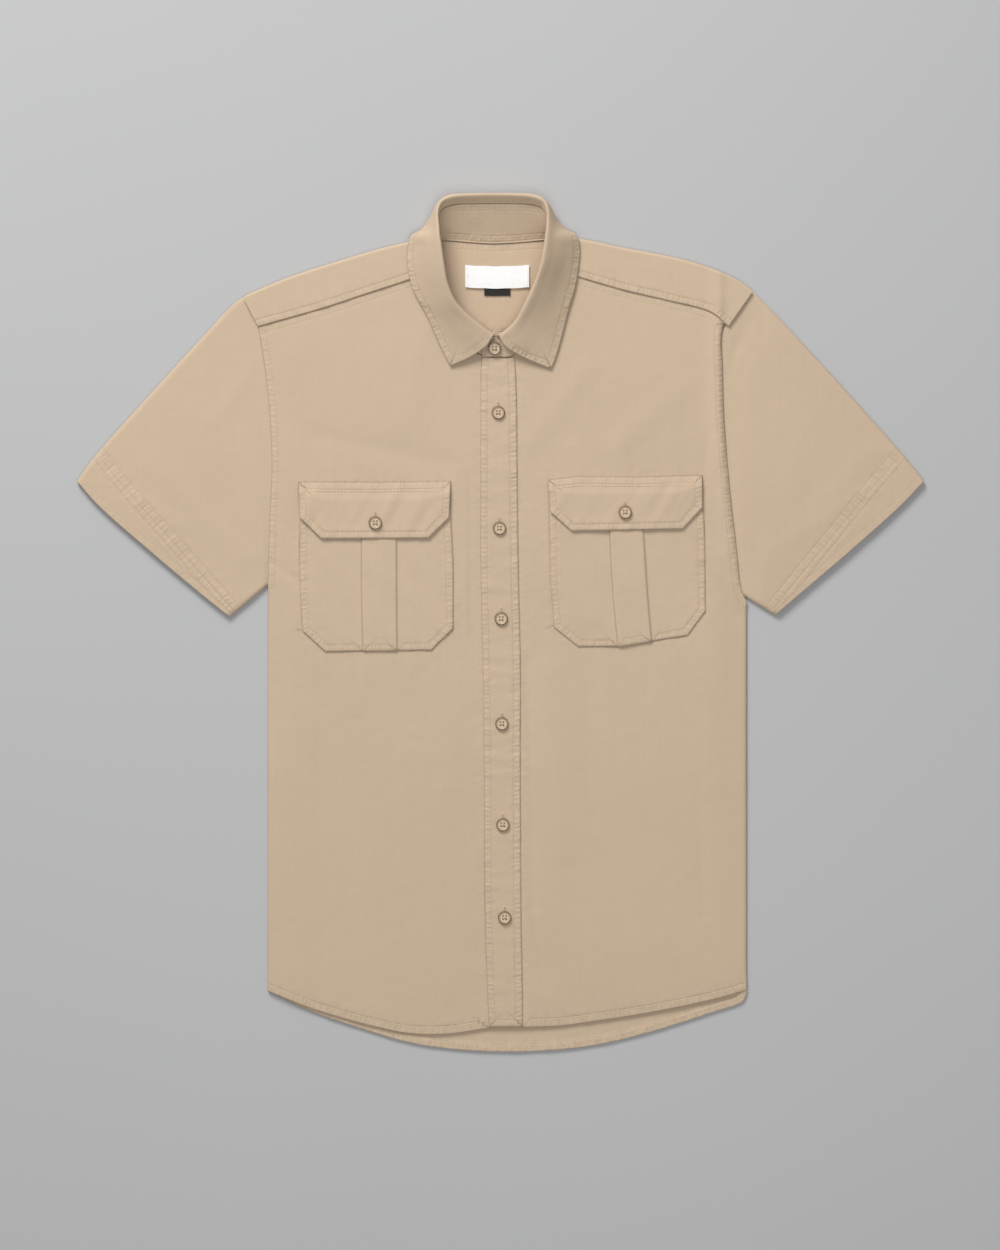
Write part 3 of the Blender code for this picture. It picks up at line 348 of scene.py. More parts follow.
def cloth(name, outer, inner, finish, seam, keep=None, ring=False, stitched=6.5):
    """A closed wall of cloth between two grids. keep marks the cells that are cloth; a ring joins its last
    column to its first. seam holds far, place and pull for the grid; far is stored in stitch widths."""
    rows, columns = outer.shape[:2]
    across = columns if ring else columns - 1
    i, j = np.meshgrid(np.arange(rows - 1), np.arange(across), indexing="ij")
    if keep is not None:
        i, j = i[keep], j[keep]
    i, j = i.ravel(), j.ravel()
    right = (j + 1) % columns
    face = np.stack([i * columns + j, i * columns + right, (i + 1) * columns + right, (i + 1) * columns + j], axis=1)
    half = rows * columns
    start, end = face.ravel(), np.roll(face, -1, axis=1).ravel()
    open_edge = ~np.isin(start * half + end, end * half + start)
    start, end = start[open_edge], end[open_edge]
    rim = np.stack([end, start, half + start, half + end], axis=1)
    quads = np.vstack([face, half + face[:, ::-1], rim])
    used, quads = np.unique(quads, return_inverse=True)
    quads = quads.reshape(-1, 4)
    points = np.vstack([outer.reshape(-1, 3), inner.reshape(-1, 3)])[used]
    facts = np.stack([part.ravel() for part in np.broadcast_arrays(*seam)], axis=1)
    facts[:, 0] = np.minimum(facts[:, 0] / stitched, 9.0)
    return surface(name, points, quads, finish, np.vstack([facts, facts])[used])


def stitches(name, lines, finish, pitch=3.1, length=2.4, width=0.5):
    """Machine stitches along lines of (points, up): each is a four-sided thread that rises from the cloth
    and dips back into it."""
    points = []
    for line, up in lines:
        line = np.asarray(line, float)
        run = np.concatenate([[0.0], np.cumsum(np.linalg.norm(np.diff(line, axis=0), axis=1))])
        count = max(1, int(run[-1] / pitch))
        where = (np.arange(count)[:, None] + 0.1) * run[-1] / count + length * np.array([0.0, 0.25, 0.75, 1.0])
        up = np.broadcast_to(np.asarray(up, float), line.shape)
        spots = np.stack([np.interp(where, run, line[:, k]) for k in range(3)], axis=-1)
        lean = np.stack([np.interp(where, run, up[:, k]) for k in range(3)], axis=-1)
        lean /= np.linalg.norm(lean, axis=-1, keepdims=True)
        ahead = spots[:, -1:] - spots[:, :1]
        aside = np.cross(ahead, lean)
        aside /= np.maximum(np.linalg.norm(aside, axis=-1, keepdims=True), 1e-9)
        thick = width / 2 * np.array([0.6, 1.0, 1.0, 0.6])[None, :, None, None]
        rise = np.array([-0.12, 0.1, 0.1, -0.12])[None, :, None, None]
        turn = np.radians([45.0, 135.0, 225.0, 315.0])[None, None, :, None]
        ring = thick * (np.cos(turn) * aside[:, :, None] + 0.8 * np.sin(turn) * lean[:, :, None])
        points.append((spots[:, :, None] + rise * lean[:, :, None] + ring).reshape(-1, 16, 3))
    points = np.concatenate(points)
    k, after = np.arange(4), (np.arange(4) + 1) % 4
    sides = [4 * n + np.stack([k, after, 4 + after, 4 + k], axis=1) for n in range(3)]
    one = np.vstack(sides + [[[3, 2, 1, 0]], [[12, 13, 14, 15]]])
    quads = (np.arange(len(points))[:, None, None] * 16 + one[None]).reshape(-1, 4)
    piece = surface(name, points.reshape(-1, 3), quads, finish)
    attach(piece, "root")
    return piece


def twill_finish():
    """Washed cotton twill: tan, with faint slubs, a broad mottle, a fine diagonal weave and small creases.
    Between a seam's edge and its stitching the cloth stands in short rungs; beyond, in soft ripples.
    Its colour also holds painted shade: a thin dark line along every seam and piece edge and along the
    stitching, and rungs and ripples paler on their ridges and darker in their hollows, partly wash wear
    and partly painted light and shade."""
    made, tree, shader = finish_of("twill", 0.92, sheen=0.08, specular=0.2)
    place = tree.node("ShaderNodeTexCoord", {}, {}, "Object")
    broad = tree.node("ShaderNodeTexNoise", {}, {"Vector": place, "Scale": 9.0, "Detail": 3.0}, "Fac")
    stretched = tree.node("ShaderNodeMapping", {}, {"Vector": place, "Scale": (430.0, 11.0, 120.0)})
    slub = tree.node("ShaderNodeTexNoise", {}, {"Vector": stretched, "Scale": 1.0, "Detail": 3.0}, "Fac")
    turned = tree.node("ShaderNodeMapping", {}, {"Vector": place, "Rotation": (0.0, 0.0, math.radians(-52.0))})
    rib = tree.node(
        "ShaderNodeTexWave", {"wave_type": "BANDS", "bands_direction": "X"},
        {"Vector": turned, "Scale": 400.0, "Distortion": 1.2, "Detail": 1.0}, "Fac",
    )
    crease = tree.node("ShaderNodeTexNoise", {}, {"Vector": place, "Scale": 95.0, "Detail": 4.0}, "Fac")
    seam = tree.node("ShaderNodeAttribute", {"attribute_name": "seam"}, {}, "Vector")
    parts = tree.node("ShaderNodeSeparateXYZ", {}, {"Vector": seam}).socket.node.outputs
    far, run, pull = (Wire(tree.tree, socket) for socket in parts)
    sewn = pull.clamp(0.0, 2.0)

    def along_seam(scale, across=0.0):
        """Noise that runs along the seam."""
        spot = tree.node("ShaderNodeCombineXYZ", {}, {"X": run * scale, "Y": far * across})
        return tree.node("ShaderNodeTexNoise", {}, {"Vector": spot, "Scale": 1.0, "Detail": 1.0}, "Fac")

    band = ((1.06 - far) * 3.0).clamp() * (far * 5.0).clamp() * sewn
    phase = run * 1.32 + far * 0.9 + along_seam(0.035) * 17.0
    rung = phase.math("SINE", phase) * band * (along_seam(0.09, 0.5) * 2.2 - 0.55).clamp()
    ripple = (along_seam(0.17, 0.8) - 0.5) * (1.0 - far * 0.4).clamp() * pull.math("ABSOLUTE", pull)
    # Painted shade: the colour darkens along the line of stitching, where the cloth sinks in a shallow groove.
    line = (1.0 - (far - 1.0).math("ABSOLUTE", far - 1.0) * 8.0).clamp() * sewn.clamp()
    # Painted shade: the colour darkens within about a millimetre of each seam line and piece edge, standing in for
    # contact shadow beside a piece that lies on the cloth and under a turned edge.
    edge = (1.0 - far * 6.0).clamp() * (pull.math("ABSOLUTE", pull) * 20.0).clamp()
    # Partly wash wear, partly painted light and shade: the rungs and ripples are paler on their ridges and darker in
    # their hollows, the same way round as their bump. The broad mottle, slubs and weave are the cloth's own tone.
    shade = (
        0.955 + broad * 0.07 + (slub - 0.5) * 0.05 + ripple * 0.2 + rung * 0.035 - line * 0.06 - edge * 0.3
        + (rib - 0.5) * 0.03
    )
    grey = tree.node("ShaderNodeCombineColor", {}, {0: shade, 1: shade, 2: shade})
    colour = tree.node(
        "ShaderNodeMix", {"data_type": "RGBA", "blend_type": "MULTIPLY", "clamp_result": False},
        {0: 1.0, 6: (0.560, 0.430, 0.305, 1.0), 7: grey}, 2,
    )
    height = ripple * 1.0 + rung * 0.16 - line * 0.2 + (rib - 0.5) * 0.04 + crease * 0.3 + slub * 0.03
    bump = tree.node("ShaderNodeBump", {}, {"Height": height, "Strength": 1.0, "Distance": 0.001})
    tree.tree.links.new(colour.socket, shader.inputs["Base Color"])
    tree.tree.links.new(bump.socket, shader.inputs["Normal"])
    return made


def thread_finish():
    """Cotton thread in the colour of the cloth, a little paler, with its twist as fine bands. Points that the
    seam attribute marks, the buttonhole slits, are painted near-black as shade.
    """
    made, tree, shader = finish_of("thread", 0.8, sheen=0.1, specular=0.3)
    place = tree.node("ShaderNodeTexCoord", {}, {}, "Object")
    twist = tree.node("ShaderNodeTexNoise", {}, {"Vector": place, "Scale": 2400.0, "Detail": 1.0}, "Fac")
    colour = tree.node(
        "ShaderNodeMix", {"data_type": "RGBA"},
        {0: twist, 6: (0.54, 0.41, 0.28, 1.0), 7: (0.68, 0.53, 0.38, 1.0)}, 2,
    )
    # Painted shade: points that the seam attribute marks, the buttonhole slits, are mixed to near-black, standing in
    # for the shade in the cut.
    shade_mask = tree.node("ShaderNodeAttribute", {"attribute_name": "seam"}, {}, "Fac").clamp()
    colour = tree.node("ShaderNodeMix", {"data_type": "RGBA"}, {0: shade_mask, 6: colour, 7: (0.07, 0.04, 0.02, 1.0)}, 2)
    tree.tree.links.new(colour.socket, shader.inputs["Base Color"])
    return made


twill = twill_finish()
thread = thread_finish()
UP = (0.0, 0.0, 1.0)

right_armhole = [(x + ARMHOLE_GAP, y) for x, y in SLEEVE_END_RIGHT[:-1]]
left_armhole = [(x - ARMHOLE_GAP, y) for x, y in SLEEVE_END_LEFT[:-1]]
back_right = np.vstack([[(RIGHT_SIDE_X, -346.6), (RIGHT_SIDE_X, 27.0)], smooth(right_armhole)])
back_left = np.vstack([[(LEFT_SIDE_X, -348.8), (LEFT_SIDE_X, 16.0)], smooth(left_armhole)])
back_hem = smooth(BACK_HEM)
back_v = np.concatenate([np.arange(0.0, 48.0, 1.6) / 640.0, np.linspace(0.075, 1.0, 70)])
back_plan = patch(
    back_hem, [right_armhole[-1], left_armhole[-1]], back_right, back_left, spaced(450.0, 2.0, 3.0, 20.0), back_v
)
back_facts = nearest(back_plan, [(back_hem, 1.3)])


def back_height(plan, facts):
    """Upper side of the back: level cloth, thicker over the turned hem, which puckers."""
    band = 1.0 - np.clip((facts[0] - HEM_BAND_WIDTH) / 0.8, 0.0, 1.0)
    return CLOTH + (HEM_BAND_TOP - CLOTH) * band + np.maximum(puckers(*facts, HEM_BAND_WIDTH), -0.4) * 0.8


back = cloth(
    "back_panel", lift(back_plan, back_height(back_plan, back_facts)), lift(back_plan, 0.0), twill, back_facts
)
back_stitch = back_hem + np.array([0.0, HEM_BAND_WIDTH - 1.0])
back_stitch = back_stitch[6:-6]
back_stitches = stitches(
    "back_hem_stitches",
    [(lift(back_stitch, back_height(back_stitch, nearest(back_stitch, [(back_hem, 1.3)]))), UP)], thread,
)
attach(back, "root")
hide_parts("back")

# The fronts.
# Two panels of the same twill: the right one runs under the buttonhole strip, the left one under its
# edge. Each rolls down at the side and over the armhole seam, and has a narrow stitched hem.
FRONT_HEM_RIGHT = [
    (-218.5, -346.1), (-180.9, -361.0), (-134.1, -375.0), (-87.4, -385.0), (-50.0, -385.6), (-9.5, -379.8),
    (16.2, -379.0),
]
FRONT_HEM_LEFT = [
    (17.3, -379.0), (54.9, -378.0), (87.2, -373.9), (135.8, -366.6), (200.6, -353.6), (231.2, -345.0),
]
ARMHOLE_RIGHT = [
    (-218.5, 37.8), (-217.1, 93.5), (-214.8, 147.0), (-216.7, 193.2), (-221.4, 238.3), (-227.5, 277.8),
]
ARMHOLE_LEFT = [
    (231.2, 20.0), (226.8, 29.6), (221.4, 72.8), (214.5, 136.0), (210.1, 193.2), (208.5, 244.9),
    (207.5, 263.7), (209.5, 279.8),
]
YOKE_SEAM_RIGHT = [(-227.5, 277.8), (-165.7, 295.3), (-126.1, 308.4), (-84.6, 322.0), (-66.1, 328.5)]
YOKE_SEAM_LEFT = [(52.3, 330.4), (70.8, 325.0), (116.3, 311.8), (155.9, 302.5), (197.4, 291.3), (213.7, 278.2)]
SIDE_FOOT_RIGHT = [(-346.0, 2.2), (-336.0, 2.2), (-326.0, 1.35), (26.0, 1.35), (35.0, 3.5), (300.0, 3.5)]
SIDE_FOOT_LEFT = [(-346.0, 2.2), (-336.0, 2.2), (-326.0, 1.35), (12.0, 1.35), (20.0, 3.5), (300.0, 3.5)]
SIDE_ROLL = 4.0
YOKE_LAP = 3.0
ARMHOLE_RIDGE = [
    (10.0, 226.0, 0.0), (60.0, 217.0, 1.5), (110.0, 211.0, 2.5), (150.0, 207.0, 2.8), (200.0, 204.5, 2.8),
    (250.0, 203.0, 2.5), (285.0, 205.0, 1.9), (322.0, 206.0, 1.3), (345.0, 206.0, 0.6),
]
RIDGE_INNER_WIDTH = 8.0
RIDGE_OUTER_WIDTH = 4.5
FRONT_FOLDS = [
    (-196.0, 250.0, -205.0, 60.0, 16.0, 0.5), (-71.0, 280.0, -92.0, 186.0, 12.0, 0.5),
    (-173.0, 176.0, -49.0, 149.0, 9.0, -0.6), (-205.0, 30.0, -150.0, -120.0, 22.0, 0.4),
    (-216.0, 57.0, -186.0, 37.0, 4.0, -0.4), (-214.0, 92.0, -194.0, 60.0, 4.5, 0.35),
    (-168.8, -55.0, -168.8, -343.0, 7.0, -0.35), (-126.4, -38.0, -134.9, -84.0, 4.0, 0.35),
    (-83.2, -38.0, -79.4, -104.0, 4.5, 0.4), (-60.0, -60.0, -40.0, -330.0, 22.0, 0.4),
    (-53.5, -155.0, -17.0, -226.0, 4.5, 0.45), (-40.9, -258.0, -17.0, -329.0, 4.5, 0.45),
    (-62.0, -266.0, -50.0, -352.0, 6.0, 0.4), (-30.0, 60.0, -52.0, -10.0, 6.0, 0.35),
    (25.5, -36.0, 31.5, -267.0, 5.0, -0.5), (44.8, -44.0, 58.0, -216.0, 10.0, 0.6),
    (22.0, -224.0, 43.0, -343.0, 5.0, -0.5), (83.3, -14.0, 84.0, -181.0, 13.0, -0.7),
    (60.0, -190.0, 110.0, -300.0, 26.0, 0.5), (185.8, -147.0, 190.0, -275.0, 7.0, -0.6),
    (206.0, 60.0, 196.0, -150.0, 14.0, 0.6), (190.0, 52.0, 222.0, 6.0, 5.0, -0.5),
    (165.0, -20.0, 205.0, -70.0, 6.0, 0.35), (79.0, 237.0, 28.0, 169.0, 11.0, 0.7),
    (172.6, 220.0, 104.6, 163.0, 13.0, 0.6), (66.0, 166.0, 76.0, 137.0, 4.0, 0.4),
    (112.0, 176.0, 118.0, 137.0, 5.0, 0.45), (155.0, 172.0, 165.0, 137.0, 4.5, 0.4),
    (198.0, 180.0, 186.0, 110.0, 5.0, -0.35),
]
PLACKET_RIGHT_EDGE = [
    (-10.8, -379.8), (-12.3, -346.4), (-14.6, -260.8), (-15.5, -120.8), (-16.7, -37.1), (-18.7, 58.8),
    (-18.7, 143.3), (-18.7, 209.1), (-17.8, 248.7),
]
PLACKET_LEFT_EDGE = [
    (20.9, -379.8), (20.3, -327.6), (19.3, -270.2), (18.7, -120.8), (18.7, -37.1), (16.8, 49.3),
    (15.6, 143.3), (14.9, 215.7), (13.4, 248.7),
]
BUTTON_STAND_INSET = 4.6
FRONT_LEFT_INSET = 3.6
FRONT_HEM_WIDTH = 6.5
ARMHOLE_STITCH = 8.0
RIGHT_NECK_EDGE = [
    (8.8, 248.7), (-5.0, 248.7), (-15.2, 250.0), (-31.2, 257.8), (-48.3, 276.5), (-59.3, 299.7), (-65.7, 328.4),
    (-66.1, 331.5),
]
LEFT_NECK_EDGE = [
    (10.4, 249.6), (25.6, 261.4), (39.3, 284.6), (48.4, 307.8), (51.8, 330.3), (52.3, 333.4),
]


def folded(height, x, y, folds):
    """A height with soft folds added. Each is round in section and falls off from its middle line."""
    for x0, y0, x1, y1, half_width, rise in folds:
        run = np.array([x1 - x0, y1 - y0])
        share = np.clip(((x - x0) * run[0] + (y - y0) * run[1]) / (run @ run), 0.0, 1.0)
        distance = np.hypot(x - x0 - share * run[0], y - y0 - share * run[1])
        height = height + rise * np.exp(-((distance / half_width) ** 2))
    return height


def front_height(x, y):
    """Upper surface of the fronts: level cloth, soft folds, the armhole ridge, and the fall to the hem and
    to the sides below the sleeves."""
    height = folded(np.full(np.shape(x), BODY_TOP), x, y, FRONT_FOLDS)
    ridge_y, ridge_x, ridge_rise = np.array(ARMHOLE_RIDGE).T
    offset = x - np.interp(y, ridge_y, ridge_x)
    width = np.where(offset < 0, RIDGE_INNER_WIDTH, RIDGE_OUTER_WIDTH)
    height = height + np.interp(y, ridge_y, ridge_rise) * np.exp(-((offset / width) ** 2))
    from_side = np.minimum(x - RIGHT_SIDE_X, LEFT_SIDE_X - x)
    height = height - 0.9 * np.exp(-((np.maximum(from_side, 0.0) / 17.0) ** 2)) * np.clip((45.0 - y) / 40.0, 0.0, 1.0)
    hem_x, hem_y = np.array(FRONT_HEM_RIGHT + FRONT_HEM_LEFT).T
    above_hem = np.clip(y - np.interp(x, hem_x, hem_y), 0.0, None)
    return height - 0.7 * np.exp(-above_hem / 12.0)


def turned_edge(far, width=1.2):
    """1 at a piece's edge and 0 from a small width in: how far its turned edge curves down."""
    return (np.clip(width - far, 0.0, width) / width) ** 2


def front_skin(plan, facts, covered):
    """The fronts' upper surface with its puckers and rumples, which end where another piece lies on it."""
    x, y = plan[..., 0], plan[..., 1]
    return front_height(x, y) + (rumple(x, y) + puckers(*facts, FRONT_HEM_WIDTH)) * (1.0 - covered)


def under_placket(plan):
    """1 under the buttonhole strip, 0 clear of it, eased over 3 mm."""
    right = np.interp(plan[..., 1], *smooth(PLACKET_RIGHT_EDGE)[:, ::-1].T)
    left = np.interp(plan[..., 1], *smooth(PLACKET_LEFT_EDGE)[:, ::-1].T)
    return np.clip(1.0 - np.maximum(right - plan[..., 0], plan[..., 0] - left) / 3.0, 0.0, 1.0)


def front_panel(name, node, hem, yoke_seam, side, centre, armhole, foot_table, covers, mirrored):
    """A front: level cloth whose outer side rolls down to the table or to the sleeve. The roll is a quarter
    turn; between it and the centre the columns are close at both edges."""
    top = smooth(yoke_seam) + np.array([0.0, YOKE_LAP])
    width = np.ptp(smooth(hem)[:, 0])
    angles = np.radians(np.linspace(0.0, 90.0, 8))
    turned = 1.0 - np.cos(angles)
    rest = SIDE_ROLL / width + (1.0 - SIDE_ROLL / width) * spaced(width, 1.5, 4.6, 18.0)[1:]
    u_outer = np.concatenate([SIDE_ROLL * turned / width, rest])
    u_inner = np.concatenate([(CLOTH + (SIDE_ROLL - CLOTH) * turned) / width, rest])
    sine = np.concatenate([np.sin(angles), np.ones(len(rest))])
    sides = (side, centre)
    if mirrored:
        u_outer, u_inner, sine = 1.0 - u_outer[::-1], 1.0 - u_inner[::-1], sine[::-1]
        sides = (centre, side)
    v = spaced(run_of(side)[-1], 1.5, 1.9, 30.0)
    outer_plan = patch(smooth(hem), top, *sides, u_outer, v)
    inner_plan = patch(smooth(hem), top, *sides, u_inner, v)
    seams = [(smooth(hem), 1.0), (smooth(armhole), 0.75), (smooth(yoke_seam), 0.5)]
    # The strip's edges and the pocket outlines are faint seams of the fronts: faint ridges, and through the twill a
    # thin line of painted shade beside each piece that lies on the front.
    seams += [(smooth(PLACKET_RIGHT_EDGE), -0.4), (smooth(PLACKET_LEFT_EDGE), -0.5)]
    facts = nearest(outer_plan, seams + covers)
    covered = under_placket(outer_plan)
    for line, pull in covers:
        covered = np.maximum(covered, inside(outer_plan, line))
    level = front_skin(outer_plan, facts, covered)
    foot = np.interp(outer_plan[..., 1], *np.array(foot_table).T)
    outer = lift(outer_plan, foot + (level - foot) * sine)
    level = front_height(inner_plan[..., 0], inner_plan[..., 1]) - CLOTH - 0.3
    foot = np.interp(inner_plan[..., 1], *np.array(foot_table).T)
    inner = lift(inner_plan, foot + (level - foot) * sine)
    piece = cloth(name, outer, inner, twill, facts)
    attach(piece, "root")
    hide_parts(node)
    lines = []
    for line, inset, ends in ((smooth(hem), FRONT_HEM_WIDTH - 1.0, 4), (smooth(armhole), ARMHOLE_STITCH, 2)):
        across = np.gradient(line, axis=0)
        across = np.stack([-across[:, 1], across[:, 0]], axis=1) / np.linalg.norm(across, axis=1)[:, None]
        middle = np.array([np.mean(outer_plan[..., 0]), np.mean(outer_plan[..., 1])])
        across *= np.sign(np.einsum("ij,ij->i", across, middle - line))[:, None]
        shifted = (line + across * inset)[ends:-ends]
        shifted = along(shifted, np.linspace(0.0, 1.0, 400))
        shifted = shifted[under_placket(shifted) < 0.5]
        lines.append((lift(shifted, front_skin(shifted, nearest(shifted, seams), 0.0)), UP))
    sewn = stitches(name + "_stitches", lines, thread)
    return piece


def inside(plan, line):
    """1 inside a closed outline, 0 outside: the sign of crossings of a ray along X."""
    ring = np.vstack([line, line[:1]])
    x, y = plan[..., 0], plan[..., 1]
    crossed = np.zeros(x.shape, int)
    for (x0, y0), (x1, y1) in zip(ring[:-1], ring[1:]):
        spans = (y0 > y) != (y1 > y)
        at = x0 + (y - y0) * (x1 - x0) / (y1 - y0 if y1 != y0 else 1e-9)
        crossed += spans & (x < at)
    return (crossed % 2).astype(float)


# Outlines of what lies on the fronts: each pocket with its flap
POCKET_OUTLINE_RIGHT = [
    (-185.8, -8.0), (-164.5, -27.4), (-65.0, -25.9), (-44.3, -5.6), (-46.8, 102.4), (-46.8, 132.6),
    (-189.7, 132.0), (-188.5, 39.9),
]
POCKET_OUTLINE_LEFT = [
    (50.4, -4.6), (73.0, -22.8), (112.3, -22.5), (137.7, -18.4), (175.6, -12.1), (192.6, 10.5), (189.4, 138.3),
    (44.9, 133.9), (46.0, 82.2),
]
stand_edge = smooth(PLACKET_LEFT_EDGE) - np.array([BUTTON_STAND_INSET, 0.0])
right_centre = np.vstack([stand_edge[stand_edge[:, 1] < 248.0], smooth(RIGHT_NECK_EDGE)])
right_side = np.vstack([FRONT_HEM_RIGHT[:1], smooth(ARMHOLE_RIGHT), [(-227.5, 277.8 + YOKE_LAP)]])
front_panel(
    "front_right_panel", "front_right", FRONT_HEM_RIGHT, YOKE_SEAM_RIGHT, right_side, right_centre, ARMHOLE_RIGHT,
    SIDE_FOOT_RIGHT, [(np.array(POCKET_OUTLINE_RIGHT + POCKET_OUTLINE_RIGHT[:1]), -0.4)], False,
)
front_edge = smooth(PLACKET_LEFT_EDGE) - np.array([FRONT_LEFT_INSET, 0.0])
left_centre = np.vstack([front_edge[front_edge[:, 1] < 248.0], smooth(LEFT_NECK_EDGE)])
left_side = np.vstack([FRONT_HEM_LEFT[-1:], smooth(ARMHOLE_LEFT), [(213.7, 278.2 + YOKE_LAP)]])
front_panel(
    "front_left_panel", "front_left", FRONT_HEM_LEFT, YOKE_SEAM_LEFT, left_side, left_centre, ARMHOLE_LEFT,
    SIDE_FOOT_LEFT, [(np.array(POCKET_OUTLINE_LEFT + POCKET_OUTLINE_LEFT[:1]), -0.4)], True,
)

# The yoke.
# One piece of twill from the back seam over both shoulder folds to the forward seams, where it is
# topstitched over the fronts. The neck edge is sewn into the collar stand.
YOKE_GAP = 0.45
YOKE_ROLL = 3.0
YOKE_STITCH = 6.5
SHOULDER_RIGHT = [(-241.1, 306.9), (-200.7, 323.8), (-154.6, 338.9), (-102.9, 353.9), (-60.6, 361.4)]
SHOULDER_LEFT = [
    (49.0, 362.2), (75.7, 360.5), (107.6, 353.9), (180.0, 338.9), (219.5, 323.8), (236.1, 312.9),
]
NECK_BACK = [
    (-60.6, 361.4), (-56.0, 358.9), (-38.0, 357.6), (-7.0, 355.6), (27.0, 357.6), (44.5, 358.9),
    (49.0, 362.2),
]
# Columns of the yoke: x at the back seam, at the fold or neck, at the forward seam
YOKE_RIGHT_COLUMNS = [
    (-218.2, -241.1, -227.5), (-218.2, -232.6, -219.5), (-195.0, -209.0, -196.0), (-163.0, -176.0, -167.0),
    (-127.0, -137.0, -135.0), (-90.0, -98.0, -100.0), (-66.0, -75.0, -79.0), (-55.0, -60.6, -66.1),
]
YOKE_NECK_COLUMNS = [(x, x, x) for x in (-49.0, -38.0, -24.0, -7.0, 12.0, 27.0, 37.5)]
YOKE_LEFT_COLUMNS = [
    (45.0, 49.0, 52.3), (56.0, 63.0, 64.0), (80.0, 87.0, 85.0), (112.0, 121.0, 117.0),
    (144.0, 154.0, 149.0), (172.0, 184.0, 180.0), (188.0, 198.0, 195.0), (196.0, 205.5, 202.0),
    (200.0, 211.0, 206.0), (204.2, 224.0, 209.6), (204.2, 236.1, 213.7),
]


def yoke_grids():
    """Rows run from the back seam, up the back layer, half a turn over the fold and down to the forward
    seam. Returns both surfaces, the seam facts and the kept cells."""
    table_columns = np.array(YOKE_RIGHT_COLUMNS + YOKE_NECK_COLUMNS + YOKE_LEFT_COLUMNS)
    first_neck, last_neck = len(YOKE_RIGHT_COLUMNS) - 1, len(YOKE_RIGHT_COLUMNS) + len(YOKE_NECK_COLUMNS)
    widths = np.abs(np.diff(table_columns[:, 1]))
    counts = np.maximum(1, np.ceil(widths / 1.9)).astype(int)
    index = np.concatenate(
        [k + np.arange(n) / n for k, n in enumerate(counts)] + [[float(len(table_columns) - 1)]]
    )
    back_x, fold_x, front_x = (
        np.interp(index, np.arange(len(table_columns)), table_columns[:, k]) for k in range(3)
    )
    fold_y = np.interp(fold_x, *smooth(SHOULDER_RIGHT[:-1] + NECK_BACK + SHOULDER_LEFT[1:]).T)
    front_y = np.interp(front_x, *smooth(YOKE_SEAM_RIGHT + YOKE_SEAM_LEFT).T)
    at_neck = (index > first_neck) & (index < last_neck)
    back_line = np.stack([back_x, np.full_like(back_x, BACK_SEAM_Y + SEAM)], axis=1)
    fold = np.stack([fold_x, fold_y], axis=1)
    front = np.stack([front_x, front_y], axis=1)
    down = np.array([0.0, -1.0])
    turn_start = np.where(at_neck[:, None], fold, fold + YOKE_ROLL * down)
    flange_top = fold + YOKE_ROLL * down
    height = front_height(flange_top[:, 0], flange_top[:, 1]) + YOKE_GAP + CLOTH

    back_rows, turn_rows = 46, 7
    share = np.linspace(0.0, 1.0, back_rows)[:, None, None]
    lower = back_line + share * (turn_start - back_line)
    angle = np.radians(np.linspace(-75.0, 75.0, turn_rows))[:, None]
    turned = (1.0 - np.cos(angle))[..., None]
    rolled = fold + YOKE_ROLL * turned * down
    rolled_in = fold + (CLOTH + (YOKE_ROLL - CLOTH) * turned) * down
    share = spaced(60.0, 1.3, 1.6, 12.0)[:, None, None]
    upper = flange_top + share * (front - flange_top)
    seams = [(front, 0.9)]
    facts_upper = nearest(upper, seams)
    top = front_height(upper[..., 0], upper[..., 1]) + YOKE_GAP + CLOTH
    fade = np.clip(np.linspace(0.0, 1.0, len(upper)) * 4.0, 0.0, 1.0)[:, None]
    relief = (puckers(*facts_upper, YOKE_STITCH) + 0.7 * rumple(upper[..., 0], upper[..., 1])) * fade
    relief = relief - 0.8 * turned_edge(facts_upper[0], 1.3)
    back_facts = nearest(lower, [(back_line, 1.2), (smooth(NECK_BACK), 0.7)])
    lower_relief = puckers(*back_facts, YOKE_STITCH) + 0.6 * rumple(lower[..., 0] + 300.0, lower[..., 1])
    ease = np.clip((fold_y - lower[..., 1]) / 6.0, 0.0, 1.0) * np.clip((lower[..., 1] - BACK_SEAM_Y) / 3.0, 0.0, 1.0)
    outer = np.concatenate([
        lift(lower, 0.0), lift(rolled, height / 2 * (1 + np.sin(angle))), lift(upper, top + relief),
    ])
    inner = np.concatenate([
        lift(lower, CLOTH + np.maximum(lower_relief * ease, -0.35)),
        lift(rolled_in, height / 2 + (height / 2 - CLOTH) * np.sin(angle)),
        lift(upper, top - CLOTH),
    ])
    quiet = np.zeros((turn_rows, len(fold)))
    facts = [np.concatenate([a, quiet + rest, b]) for a, b, rest in zip(back_facts, facts_upper, (60.0, 0.0, 0.0))]
    keep = np.ones((len(outer) - 1, len(fold) - 1), bool)
    neck_cells = (index[:-1] >= first_neck) & (index[1:] <= last_neck)
    keep[back_rows - 1:, neck_cells] = False
    keep[:back_rows + turn_rows - 2, [0, -1]] = False
    return outer, inner, facts, keep


yoke_outer, yoke_inner, yoke_facts, yoke_keep = yoke_grids()
yoke = cloth("yoke_piece", yoke_outer, yoke_inner, twill, yoke_facts, yoke_keep)


